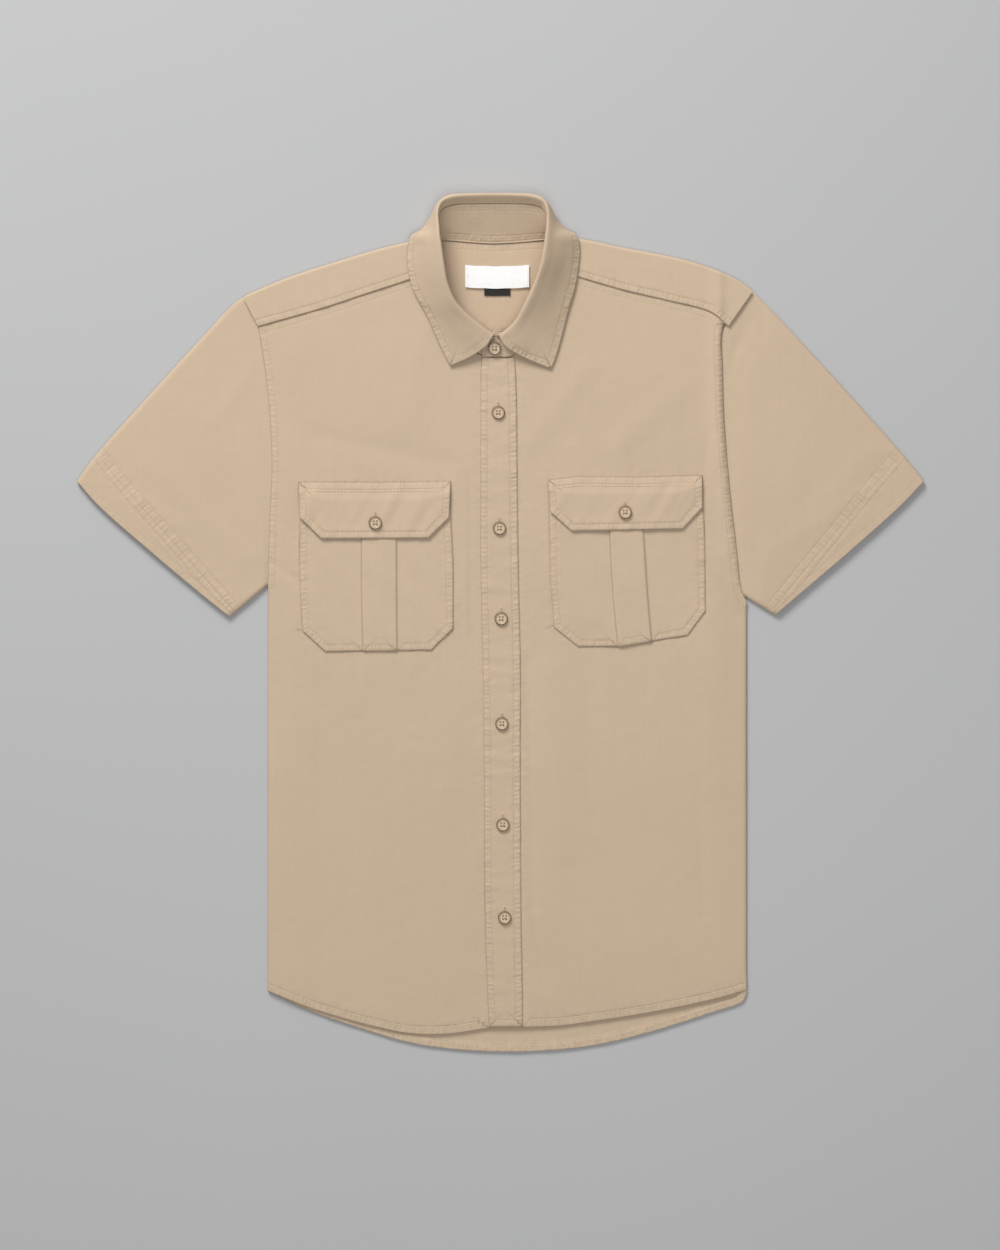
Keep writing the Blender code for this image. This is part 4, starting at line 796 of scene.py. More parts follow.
def yoke_stitch_lines():
    """Two lines of stitches above each forward seam, and one above the back seam inside the neck."""
    lines = []
    for seam, ends in ((smooth(YOKE_SEAM_RIGHT), (3, -2)), (smooth(YOKE_SEAM_LEFT), (2, -6))):
        for inset in (1.4, YOKE_STITCH):
            line = seam[ends[0]:ends[1]] + np.array([0.0, inset])
            facts = nearest(line, [(seam, 0.9)])
            top = front_height(line[:, 0], line[:, 1]) + YOKE_GAP + CLOTH
            relief = puckers(*facts, YOKE_STITCH) + 0.7 * rumple(line[:, 0], line[:, 1])
            lines.append((lift(line, top + relief), UP))
    inside_line = np.stack([np.linspace(-60.0, 50.0, 60), np.full(60, BACK_SEAM_Y + 6.0)], axis=1)
    lines.append((lift(inside_line, CLOTH), UP))
    return lines


yoke_stitches = stitches("yoke_stitches", yoke_stitch_lines(), thread)
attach(yoke, "root")
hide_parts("yoke")

# The sleeves.
# Short sleeves of the same twill, each a tube pressed flat: a lower layer, an upper layer and two folded
# edges. A wide hem is turned up inside the cuff and stitched all round.
SLEEVE_CUFF_RIGHT = [(-254.3, 5.2), (-282.5, 27.7), (-330.4, 68.1), (-378.3, 110.4), (-398.1, 133.0)]
SLEEVE_TOP_RIGHT = [
    (-234.5, 306.0), (-240.5, 305.8), (-248.6, 301.3), (-282.5, 265.6), (-334.2, 209.1), (-384.0, 152.8),
    (-398.1, 133.0),
]
SLEEVE_CUFF_LEFT = [(258.0, 7.0), (296.6, 39.9), (329.5, 68.1), (376.5, 110.4), (398.1, 133.0)]
SLEEVE_TOP_LEFT = [
    (230.3, 311.5), (236.5, 310.8), (246.8, 301.3), (280.6, 265.6), (332.3, 209.1), (382.1, 152.8),
    (398.1, 133.0),
]
UNDERARM_RIGHT = [SLEEVE_END_RIGHT[0], (-218.7, 35.0), SLEEVE_CUFF_RIGHT[0]]
UNDERARM_LEFT = [SLEEVE_END_LEFT[0], (230.8, 23.6), SLEEVE_CUFF_LEFT[0]]
SLEEVE_HEIGHT = [(0.0, 3.0), (0.09, 3.0), (0.18, 4.0), (0.5, 4.8), (0.86, 4.4), (0.88, 4.8), (1.0, 4.6)]
SLEEVE_ROLL = 5.0
SLEEVE_HEM_WIDTH = 24.5
# Soft creases of a sleeve: start x and y, end x and y, half width, height
SLEEVE_CREASES_RIGHT = [
    (-240.0, 60.0, -330.0, 150.0, 12.0, 0.5),
    (-232.0, 240.0, -268.0, 190.0, 9.0, 0.5),
    (-300.0, 90.0, -345.0, 120.0, 8.0, 0.4),
]
SLEEVE_CREASES_LEFT = [
    (236.0, 300.0, 222.0, 262.0, 6.0, -1.0),
    (222.0, 262.0, 209.0, 232.0, 6.0, -1.0),
    (258.0, 62.0, 350.0, 160.0, 13.0, 0.5),
    (300.0, 92.0, 352.0, 130.0, 8.0, 0.45),
]


def sleeve_skin(plan, facts, creases):
    """What the upper layer adds to a level surface: rumples, puckers at the hem and soft creases."""
    x, y = plan[..., 0], plan[..., 1]
    return folded(0.8 * rumple(x + 900.0, y) + 0.8 * puckers(*facts, 7.0), x, y, creases)


def sleeve(name, node, end, cuff, top, underarm, creases):
    """A flattened tube: rows run from the armhole to the cuff, columns round the tube."""
    length = 178.0
    v = spaced(length, 1.6, 2.6, 30.0)
    widths = [run_of(line)[-1] for line in (end, cuff)]
    width = np.interp(v, [0.0, 1.0], widths)[:, None]
    across = spaced(230.0, 1.8, 3.4, 20.0)[None, :]
    height = np.interp(v, *np.array(SLEEVE_HEIGHT).T)[:, None]
    quarter = np.radians(np.linspace(78.0, -78.0, 7))[None, :]
    margin = SLEEVE_ROLL / width
    flat_u = margin + across * (1 - 2 * margin)
    hem_share = 1.0 - SLEEVE_HEM_WIDTH / length
    hem_line = patch(smooth(end), smooth(cuff), underarm, smooth(top), np.linspace(0.02, 0.98, 120), [hem_share])[0]
    seams = [(smooth(cuff), 0.45), (hem_line, 0.9), (smooth(end), 0.5)]
    facts = None
    grids = []
    for depth in (0.0, CLOTH):
        edge = (depth + (SLEEVE_ROLL - depth) * (1 - np.cos(quarter))) / width
        u = np.concatenate([flat_u, 1 - edge, flat_u[:, ::-1], edge], axis=1)
        plan = patch(smooth(end), smooth(cuff), underarm, smooth(top), u, v)
        high = np.broadcast_to(height - depth, flat_u.shape)
        if facts is None:
            facts = nearest(plan, seams)
            upper = plan[:, :flat_u.shape[1]]
            ease = np.clip(np.minimum(across, 1 - across) * 20.0, 0.0, 1.0) * np.clip(v * 8.0 - 0.3, 0.0, 1.0)[:, None]
            part = [fact[:, :flat_u.shape[1]] for fact in facts]
            high = high + np.maximum(sleeve_skin(upper, part, creases) * ease, -0.6)
        turn = height / 2 + (height / 2 - depth) * np.sin(quarter)
        z = np.concatenate([high, turn, np.full(flat_u.shape, depth), turn[:, ::-1]], axis=1)
        grids.append(lift(plan, z))
    piece = cloth(name, *grids, twill, facts, ring=True)
    hem_height = np.interp(hem_share, *np.array(SLEEVE_HEIGHT).T)
    hem_facts = nearest(hem_line, seams)
    hem_top = lift(hem_line, hem_height + sleeve_skin(hem_line, hem_facts, creases))
    sewn = stitches(name + "_stitches", [(hem_top[3:-3], UP), (lift(hem_line, 0.0)[3:-3], (0.0, 0.0, -1.0))], thread)
    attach(piece, "root")
    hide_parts(node)
    return piece


sleeve(
    "sleeve_right_tube", "sleeve_right", SLEEVE_END_RIGHT, SLEEVE_CUFF_RIGHT, SLEEVE_TOP_RIGHT, UNDERARM_RIGHT,
    SLEEVE_CREASES_RIGHT,
)
sleeve(
    "sleeve_left_tube", "sleeve_left", SLEEVE_END_LEFT, SLEEVE_CUFF_LEFT, SLEEVE_TOP_LEFT, UNDERARM_LEFT,
    SLEEVE_CREASES_LEFT,
)

# The buttonhole strip.
# A doubled strip of twill down the left front's edge, topstitched near both sides, with a row of worked
# buttonholes. Its edges pucker like rope.
PLACKET_STITCH = 6.3
PLACKET_BUTTONS = [(-2.1, 197.1), (-1.0, 88.5), (0.7, 3.6), (1.3, -95.0), (2.2, -189.9), (3.9, -277.1)]
BUTTON_RADIUS = 6.25
placket_right, placket_left = smooth(PLACKET_RIGHT_EDGE), smooth(PLACKET_LEFT_EDGE)
placket_v = np.linspace(0.0, 1.0, 470)
placket_ends = [placket_right[0], placket_left[0]], [placket_right[-1], placket_left[-1]]
placket_plan = patch(*placket_ends, placket_right, placket_left, np.linspace(0.0, 1.0, 35), placket_v)
placket_seams = [(placket_right, 0.95), (placket_left, 1.05), (np.array(placket_ends[0]), 0.6)]


def placket_top(plan, facts):
    """The strip's upper surface: the front's height, its own cloth, ropy edges, and cross ripples between
    the stitch lines, flattened under the buttons."""
    x, y = plan[..., 0], plan[..., 1]
    across = 0.5 * (chance(y / 8.0 + 0.012 * x, 21) - 0.5) * (0.4 + 0.6 * chance(y / 41.0, 23))
    across = across + 0.3 * (chance_2d(x / 22.0, y / 6.5 - x / 45.0, 25) - 0.5)
    calm = 1.0
    for button_x, button_y in PLACKET_BUTTONS:
        calm = calm * (1.0 - np.exp(-(((x - button_x) / 7.0) ** 2) - ((y - button_y) / 7.0) ** 2))
    relief = (0.9 * puckers(*facts, PLACKET_STITCH) + across) * calm
    return front_height(x, y) + SEAM + CLOTH + np.clip(relief, -0.4, 0.6) - 0.6 * turned_edge(facts[0])


placket_facts = nearest(placket_plan, placket_seams)
placket = cloth(
    "buttonhole_strip", lift(placket_plan, placket_top(placket_plan, placket_facts)),
    lift(placket_plan, front_height(placket_plan[..., 0], placket_plan[..., 1]) + SEAM), twill, placket_facts,
)
placket_lines = []
for share in (PLACKET_STITCH / 34.0, 1.0 - PLACKET_STITCH / 36.0):
    line = patch(*placket_ends, placket_right, placket_left, [share], np.linspace(0.004, 0.997, 500))[:, 0]
    placket_lines.append((lift(line, placket_top(line, nearest(line, placket_seams))), UP))
placket_stitches = stitches("buttonhole_strip_stitches", placket_lines, thread)


def turned_quads(rings, sides):
    """Quads of a turned body: bands between rings, and a middle point at each end joined to every second
    pair of sides."""
    k, after = np.arange(sides), (np.arange(sides) + 1) % sides
    bands = [n * sides + np.stack([k, after, sides + after, sides + k], axis=1) for n in range(rings - 1)]
    even = np.arange(0, sides, 2)
    first, last = rings * sides, rings * sides + 1
    start = np.stack([first + 0 * even, (even + 2) % sides, even + 1, even], axis=1)
    tail = (rings - 1) * sides
    end = np.stack([last + 0 * even, tail + even, tail + even + 1, tail + (even + 2) % sides], axis=1)
    return np.vstack(bands + [start, end])


def tube(line, radius, sides=6):
    """Points and quads of a round thread along a short line, closed at both ends."""
    line = np.asarray(line, float)
    ahead = np.gradient(line, axis=0)
    ahead /= np.linalg.norm(ahead, axis=1)[:, None]
    aside = np.cross(ahead, UP)
    aside /= np.linalg.norm(aside, axis=1)[:, None]
    over = np.cross(aside, ahead)
    turn = np.linspace(0.0, 2 * np.pi, sides, endpoint=False)[None, :, None]
    ring = line[:, None] + radius * (np.cos(turn) * aside[:, None] + np.sin(turn) * over[:, None])
    return np.vstack([ring.reshape(-1, 3), line[:1], line[-1:]]), turned_quads(len(line), sides)


def worked_buttonhole(name, x, y, lift_at):
    """A buttonhole up the cloth: a rounded ridge of close thread round its slit, which is drawn as a thin
    near-black tube of painted shade. The profile, half an oval, is carried round a long loop and swells at
    each turn of thread. lift_at gives the cloth's height."""
    half, round_end = 6.6, 0.98
    share = np.linspace(0.0, 1.0, 121)[:-1]
    top = [
        (round_end * math.cos(a), half + round_end * math.sin(a)) for a in np.linspace(0.3, math.pi - 0.3, 5)
    ]
    foot = [
        (round_end * math.cos(a), -half + round_end * math.sin(a))
        for a in np.linspace(math.pi + 0.3, 2 * math.pi - 0.3, 5)
    ]
    loop = np.vstack([
        [(round_end, -half), (round_end, half)], top, [(-round_end, half), (-round_end, -half)], foot,
        [(round_end, -half)],
    ])
    line = along(loop, share)
    forward = np.roll(line, -1, axis=0) - np.roll(line, 1, axis=0)
    forward /= np.linalg.norm(forward, axis=1)[:, None]
    square = np.stack([forward[:, 1], -forward[:, 0]], axis=1)
    swell = 1.0 + 0.22 * np.cos(np.arange(120) * math.pi)
    turn = np.radians([-40.0, 0.0, 45.0, 90.0, 135.0, 180.0, 220.0])
    plan = line[:, None] + square[:, None] * (0.62 * np.cos(turn)[None, :] * swell[:, None])[..., None]
    plan = plan + np.array([x, y])
    base = lift_at(line + np.array([x, y]))
    height = base[:, None] + 0.05 + 0.42 * np.sin(turn)[None, :] * swell[:, None]
    points = lift(plan, height).reshape(-1, 3)
    shade_slit = np.stack([np.full(14, x), y + np.linspace(-half, half, 14)], axis=1)
    shade_slit, shade_slit_quads = tube(lift(shade_slit, lift_at(shade_slit)), 0.45, 8)
    i, j = np.meshgrid(np.arange(120), np.arange(7), indexing="ij")
    i, j, i_next, j_next = i.ravel(), j.ravel(), (i.ravel() + 1) % 120, (j.ravel() + 1) % 7
    quads = np.stack([i * 7 + j, i * 7 + j_next, i_next * 7 + j_next, i_next * 7 + j], axis=1)
    facts = np.zeros((len(points) + len(shade_slit), 3))
    # The slit's points are marked for the thread finish's near-black painted shade.
    facts[len(points):, 0] = 1.0
    piece = surface(name, np.vstack([points, shade_slit]), np.vstack([quads, shade_slit_quads + len(points)]), thread, facts)
    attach(piece, "root")
    return piece


def strip_height(line):
    """The strip's surface at plan points."""
    return placket_top(line, nearest(line, placket_seams))


strip_holes = [
    worked_buttonhole(f"buttonhole_{number}", x, y + 2.6, strip_height)
    for number, (x, y) in enumerate(PLACKET_BUTTONS, start=1)
]
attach(placket, "root")
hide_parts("placket")

# The pockets.
# Two patch pockets with cut-off lower corners and a raised box pleat up the middle, topstitched to the
# fronts all round but the top.
POCKETS = {
    "pocket_right": {
        "bottom": [(-185.8, -8.0), (-164.5, -27.4), (-65.0, -25.9), (-44.3, -5.6)],
        "right": [(-185.8, -8.0), (-188.5, 39.9), (-188.5, 97.3), (-188.4, 108.0)],
        "left": [(-44.3, -5.6), (-44.9, 64.7), (-46.8, 102.4), (-47.0, 108.0)],
        "pleat_below": (0.415, 0.610),
        "pleat_above": (0.415, 0.635),
    },
    "pocket_left": {
        "bottom": [
            (50.4, -4.6), (73.0, -22.8), (112.3, -22.5), (137.7, -18.4), (175.6, -12.1), (192.6, 10.5),
        ],
        "right": [(50.4, -4.6), (46.5, 39.5), (46.0, 82.2), (45.5, 112.0)],
        "left": [(192.6, 10.5), (191.9, 77.3), (190.1, 116.0)],
        "pleat_below": (0.420, 0.610),
        "pleat_above": (0.388, 0.595),
    },
}
POCKET_LIFT = 0.45
POCKET_STITCH = 6.0
PLEAT_RAISE = 1.0
PLEAT_STEP_SHARE = 0.008
PLEAT_STITCH_Y = -19.5


def chamfer_shares(bottom):
    """Shares of a bottom edge's length at which its two cut-off corners end."""
    run = run_of(bottom)
    return run[1] / run[-1], run[-2] / run[-1]


def pocket_piece(node, shape):
    """A pocket: rows run up, columns across, close together at the pleat's two steps."""
    bottom, right, left = shape["bottom"], smooth(shape["right"]), smooth(shape["left"])
    first, last = chamfer_shares(bottom)
    v = spaced(125.0, 1.4, 1.7, 20.0)
    pleat_right, pleat_left = np.array([shape["pleat_below"], shape["pleat_above"]]).T
    below, above = np.array([
        (0.0, 0.0), (first, 0.14), (0.27, 0.27),
        pleat_right - PLEAT_STEP_SHARE, pleat_right, pleat_left, pleat_left + PLEAT_STEP_SHARE,
        (0.75, 0.75), (last, 0.86), (1.0, 1.0),
    ]).T
    counts = [12, 12, 14, 2, 17, 2, 14, 12, 12]
    index = np.concatenate([k + np.arange(n) / n for k, n in enumerate(counts)] + [[9.0]])
    below, above = (np.interp(index, np.arange(10), stops) for stops in (below, above))
    u = below + v[:, None] * (above - below)
    plan = patch(bottom, [right[-1], left[-1]], right, left, u, v)
    outline = np.vstack([right[::-1], bottom[1:-1], left])
    # The two pleat steps are listed as faint seams: they add faint ridges and, through the twill, a thin line of
    # painted shade along each step.
    seams = [(outline, 0.9), (plan[:, 38], -0.15), (plan[:, 57], -0.15)]
    facts = nearest(plan, seams)
    raised = np.interp(index, [3.0, 4.0, 5.0, 6.0], [0.0, 1.0, 1.0, 0.0]) * PLEAT_RAISE
    x, y = plan[..., 0], plan[..., 1]
    relief = 0.85 * puckers(*facts, POCKET_STITCH) + 0.9 * rumple(x + 40.0, y * 1.2)
    relief = relief + 0.6 * (chance_2d((x + 0.5 * y) / 11.0, (y - 0.5 * x) / 34.0, 31) - 0.5)
    edge = turned_edge(nearest(plan, seams[:1])[0])
    base = front_height(x, y) + POCKET_LIFT
    top = base + CLOTH + raised + np.clip(relief, -0.4, 0.7) - 0.55 * edge
    piece = cloth(node + "_patch", lift(plan, top), lift(plan, base), twill, facts)
    middle = plan[40, 47]

    def over(line):
        """A plan line lifted onto the pocket's surface."""
        facts = nearest(line, seams)
        relief = 0.85 * puckers(*facts, POCKET_STITCH) + 0.9 * rumple(line[:, 0] + 40.0, line[:, 1] * 1.2)
        return lift(line, front_height(line[:, 0], line[:, 1]) + POCKET_LIFT + CLOTH + np.clip(relief, -0.5, 0.7))

    lines = []
    for inset in (1.3, POCKET_STITCH):
        shrunk = inset_line(outline, middle, inset)
        lines.append((over(along(shrunk, np.linspace(0.0, 1.0, 400))), UP))
    cross = np.stack([np.linspace(plan[4, 39][0], plan[4, 56][0], 20), np.full(20, plan[4, 47][1])], axis=1)
    lines.append((over(cross) + np.array([0.0, 0.0, PLEAT_RAISE]), UP))
    sewn = stitches(node + "_stitches", lines, thread)
    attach(piece, "root")
    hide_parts(node)
    return piece


def inset_line(outline, middle, inset):
    """A line moved towards a middle point by an inset square to its own direction; corners are mitred."""
    outline = np.asarray(outline, float)
    forward = np.diff(outline, axis=0)
    forward /= np.linalg.norm(forward, axis=1)[:, None]
    square = np.stack([-forward[:, 1], forward[:, 0]], axis=1)
    square *= np.sign(np.einsum("ij,ij->i", square, middle - (outline[:-1] + outline[1:]) / 2))[:, None]
    mean = np.vstack([square[:1], square[:-1] + square[1:], square[-1:]])
    mean /= np.linalg.norm(mean, axis=1)[:, None]
    mitre = np.einsum("ij,ij->i", mean, np.vstack([square[:1], square[:-1], square[-1:]]))
    return outline + mean * inset / np.maximum(mitre, 0.4)[:, None]


pocket_piece("pocket_right", POCKETS["pocket_right"])
pocket_piece("pocket_left", POCKETS["pocket_left"])

# The flaps.
# Doubled flaps with cut-off lower corners, sewn to the fronts along the top with two lines of stitches
# and topstitched round the other sides. Each lies over its pocket and is buttoned at the middle.
FLAPS = {
    "flap_right": {
        "bottom": [(-188.4, 98.6), (-168.3, 79.1), (-67.6, 79.7), (-48.4, 98.6)],
        "top": [(-189.7, 132.0), (-118.0, 131.6), (-46.8, 132.6)],
        "button": (-117.5, 93.5),
    },
    "flap_left": {
        "bottom": [(46.5, 104.2), (66.7, 86.3), (171.2, 88.3), (189.4, 108.1)],
        "top": [(44.9, 133.9), (73.6, 137.2), (130.0, 136.6), (189.4, 138.3)],
        "button": (117.0, 103.6),
    },
}
# Share of the way from the free edge to the sewn top, height of the underside over the front
FLAP_LIFT = [(0.0, 3.4), (0.25, 2.9), (0.68, 2.9), (1.0, 0.45)]
FLAP_STITCH = 6.3


def flap_piece(node, shape):
    """A flap: rows run up from the free edge, columns across."""
    bottom, top_edge = shape["bottom"], shape["top"]
    first, last = chamfer_shares(bottom)
    v = np.linspace(0.0, 1.0, 40)
    u = np.concatenate([np.linspace(0.0, first, 18)[:-1], np.linspace(first, last, 68), np.linspace(last, 1.0, 18)[1:]])
    plan = patch(bottom, top_edge, [bottom[0], top_edge[0]], [bottom[-1], top_edge[-1]], u, v)
    free_edge = np.vstack([top_edge[:1], bottom, top_edge[-1:]])
    seams = [(free_edge, 0.8), (np.array(top_edge, float), 0.7)]
    facts = nearest(plan, seams)

    def base(x, y, v):
        """The flap's underside: sewn down to the front at the top, and over the pocket below."""
        return front_height(x, y) + np.interp(v, *np.array(FLAP_LIFT).T)

    def skin(plan, facts, v):
        """The flap's upper side: slanting soft ripples and puckered edges, flat under the button."""
        x, y = plan[..., 0], plan[..., 1]
        slant = chance_2d((x - 0.55 * y) / 9.5, (y + 0.4 * x) / 60.0, 41) - 0.5
        relief = 0.85 * puckers(*facts, FLAP_STITCH) + 1.1 * slant + 0.5 * rumple(x, y + 500.0)
        button_x, button_y = shape["button"]
        relief = relief * (1.0 - np.exp(-(((x - button_x) / 7.0) ** 2) - ((y - button_y) / 7.0) ** 2))
        return base(x, y, v) + CLOTH + np.clip(relief, -0.5, 0.75) - 0.3 * turned_edge(facts[0])

    rows = v[:, None] + np.zeros_like(u)
    under = lift(plan, base(plan[..., 0], plan[..., 1], rows))
    piece = cloth(node + "_piece", lift(plan, skin(plan, facts, rows)), under, twill, facts)
    middle = plan[20, 50]
    low, high = np.array(bottom)[:, 1].mean(), np.array(top_edge)[:, 1].mean()

    def over(line):
        """A plan line lifted onto the flap's surface."""
        share = np.clip((line[:, 1] - low + 6.0) / (high - low + 6.0), 0.0, 1.0)
        return lift(line, skin(line, nearest(line, seams), share) + 0.1)

    lines = [(over(along(inset_line(free_edge, middle, FLAP_STITCH), np.linspace(0.03, 0.97, 300))), UP)]
    for inset in (FLAP_STITCH, FLAP_STITCH + 2.4):
        lines.append((over(along(inset_line(top_edge, middle, inset), np.linspace(0.01, 0.99, 200))), UP))
    sewn = stitches(node + "_stitches", lines, thread)
    button_x, button_y = shape["button"]
    hole = worked_buttonhole(node + "_buttonhole", button_x, button_y + 2.6, lambda line: over(line)[:, 2])
    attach(piece, "root")
    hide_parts(node)
    return piece


flap_piece("flap_right", FLAPS["flap_right"])
flap_piece("flap_left", FLAPS["flap_left"])

# The collar stand.
# A stiffened band of two layers of twill that stands up from the neck seam and buttons at the front. It
# is topstitched along the neck seam and, inside, below the leaf.
COLLAR_CLOTH = 1.2
COLLAR_SEAM = 0.45
STAND_STITCH = 2.2
# Collar stations from the right front round the back to the left front, at mid cloth:
# foot of the stand, seam of stand and leaf, roll, belly, heel and free edge of the leaf
COLLAR = [
    ((-5, 249.6, 4.3), (-5.6, 267, 8), (-6.3, 270, 12.8),
     (-13.5, 260, 13.2), (-27, 250.3, 9.6), (-47.1, 241.2, 6.3)),
    ((-15, 250.9, 4.4), (-14.6, 275, 9.6), (-15.6, 275.8, 15.2),
     (-23, 268, 14.8), (-35, 258, 10.4), (-50.6, 247.8, 6.3)),
    ((-30.5, 258.4, 4.5), (-29.2, 287.4, 13.2), (-30, 286.6, 19),
     (-38, 280.5, 17.3), (-48, 272, 11.8), (-58.3, 264, 6.4)),
    ((-47.5, 277, 4.6), (-42.2, 301.2, 18.2), (-43.3, 300.6, 24),
     (-52, 296.5, 20.5), (-61, 291.5, 13), (-68.6, 287.5, 6.6)),
    ((-58.5, 300, 4.7), (-49.4, 318.3, 21.8), (-50.6, 318, 27.5),
     (-59.5, 316.5, 22.8), (-71, 315, 14), (-82.5, 314, 6.9)),
    ((-64.8, 328.5, 4.8), (-52.6, 335.2, 24.5), (-53.8, 335, 30),
     (-62.5, 335, 24.8), (-75, 335, 15.4), (-87, 335, 7.2)),
    ((-62.4, 343, 4.8), (-55, 352, 25), (-56.2, 352, 30.5),
     (-64.5, 352, 25), (-76, 352, 16), (-87, 350, 7.2)),
    ((-60.6, 353.5, 4.3), (-56.5, 361, 24.4), (-57.5, 361, 30),
     (-65.5, 362.2, 24), (-76.5, 363, 15.5), (-84, 362.4, 7.4)),
    ((-59, 359.8, 2.6), (-57.4, 370.3, 22.6), (-58.2, 370.5, 28.5),
     (-66, 371, 20), (-72.8, 370, 8.5), (-74, 369, 1.5)),
    ((-55.9, 360.6, 0.95), (-57.4, 383.5, 19.5), (-59, 385, 25),
     (-64, 383.5, 15), (-64.4, 380.5, 4), (-60, 376, 0.75)),
    ((-49, 360.2, 0.85), (-52.6, 389.5, 16), (-55.4, 394.5, 22),
     (-57.7, 394.5, 12.5), (-56, 390.5, 2.6), (-50, 373.5, 0.65)),
    ((-38, 359.2, 0.85), (-42, 392.6, 14.4), (-46.5, 399.2, 20),
     (-48, 400.4, 11), (-46.5, 396.8, 2), (-41, 372, 0.65)),
    ((-24, 358.0, 0.85), (-25, 393.3, 13.4), (-26, 401, 18.7),
     (-27, 401.8, 10), (-26, 398.3, 1.7), (-24, 371.2, 0.65)),
    ((-7, 357.2, 0.85), (-7, 393.4, 13), (-7, 401.4, 18.3),
     (-7, 402, 9.8), (-7, 398.5, 1.7), (-7, 371, 0.65)),
    ((12, 358.0, 0.85), (12, 393.3, 13.4), (13, 401, 18.7),
     (13, 401.8, 10), (13, 398.3, 1.7), (11, 371.2, 0.65)),
    ((27, 359.2, 0.85), (28, 392.6, 14.4), (32, 399.2, 20),
     (33.5, 400.4, 11), (32.5, 396.8, 2), (28, 372, 0.65)),
    ((37.5, 360.2, 0.85), (38.4, 389.5, 16), (41.2, 394.2, 22),
     (43.5, 394.3, 12.5), (42, 390.5, 2.6), (37, 373.5, 0.65)),
    ((44, 360.6, 0.95), (43, 382.8, 19.5), (44.3, 384, 25),
     (49.8, 383, 15), (50.6, 380, 4), (47, 376, 0.75)),
    ((47.4, 359.9, 2.6), (43, 370.3, 22.6), (43.9, 370.5, 28.5),
     (51.8, 371, 20), (59.4, 370, 8.5), (61, 369, 1.5)),
    ((48, 354, 4.3), (41.9, 361, 24.4), (42.9, 361, 30),
     (51.2, 362.2, 24), (62.5, 363, 15.5), (71.5, 362.8, 7.4)),
    ((49.2, 345, 4.8), (40.6, 351.6, 25), (41.7, 351.5, 30.5),
     (50.3, 351.5, 25), (62.5, 351, 16), (74, 350, 7.2)),
    ((50.9, 330.4, 4.8), (37.7, 336.3, 24.5), (38.8, 336, 30),
     (47.8, 335.5, 24.8), (60, 335, 15.4), (72.9, 335, 7.2)),
    ((47.5, 308, 4.7), (32.2, 319.3, 21.8), (33.2, 319, 27.5),
     (42.5, 317.8, 22.8), (56, 316, 14), (69.3, 314, 6.9)),
    ((38.5, 285, 5.0), (23.8, 301, 18.2), (24.8, 300.5, 24),
     (34.5, 298, 20.5), (49, 293, 13), (62, 288, 6.6)),
    ((25, 262, 5.7), (14.4, 283.6, 13.4), (15.2, 283, 19),
     (25, 280, 17.3), (40.5, 272.5, 11.8), (56, 264.5, 6.4)),
    ((10, 250.4, 6.0), (4.8, 273.8, 10.7), (5.3, 273.3, 15.6),
     (14, 266, 14.8), (32, 256.5, 10.4), (50.3, 246, 6.3)),
    ((-3.4, 249.6, 5.9), (-3.2, 267.2, 9.7), (-2.0, 269.6, 14.2),
     (3.4, 260.5, 13.4), (20, 250.2, 9.8), (47.3, 238.6, 6.2)),
]
# The stand runs on past the leaf at both fronts, its left end over its right end: foot and top
STAND_UNDER_END = [((11.0, 249.9, 4.1), (9.5, 260.5, 6.3)), ((5.0, 249.6, 4.3), (4.5, 264.5, 7.5))]
STAND_OVER_END = [((-11.0, 249.6, 5.9), (-10.8, 264.0, 9.0)), ((-17.6, 249.7, 5.9), (-17.0, 258.5, 7.8))]
COLLAR_STEPS = 12


def square_to(middle):
    """Unit normals of a grid of points, from the cross product of its two directions."""
    normal = np.cross(np.gradient(middle, axis=1), np.gradient(middle, axis=0))
    return normal / np.linalg.norm(normal, axis=-1, keepdims=True)


def lengths(grid, axis):
    """Running length of a grid's lines along one of its axes."""
    steps = np.linalg.norm(np.diff(grid, axis=axis), axis=-1)
    return np.concatenate([np.zeros_like(np.take(steps, [0], axis=axis)), np.cumsum(steps, axis=axis)], axis=axis)


def level_line(grid, measure, value, axis):
    """The line across a grid where a measure that grows along an axis reaches a value."""
    grid, measure = (grid, measure) if axis == 0 else (np.swapaxes(grid, 0, 1), measure.T)
    rows = np.arange(measure.shape[0])
    at = np.array([np.interp(value, column, rows) for column in measure.T])
    low = np.clip(np.floor(at).astype(int), 0, len(rows) - 2)
    share = (at - low)[:, None]
    column = np.arange(grid.shape[1])
    return grid[low, column] * (1 - share) + grid[low + 1, column] * share


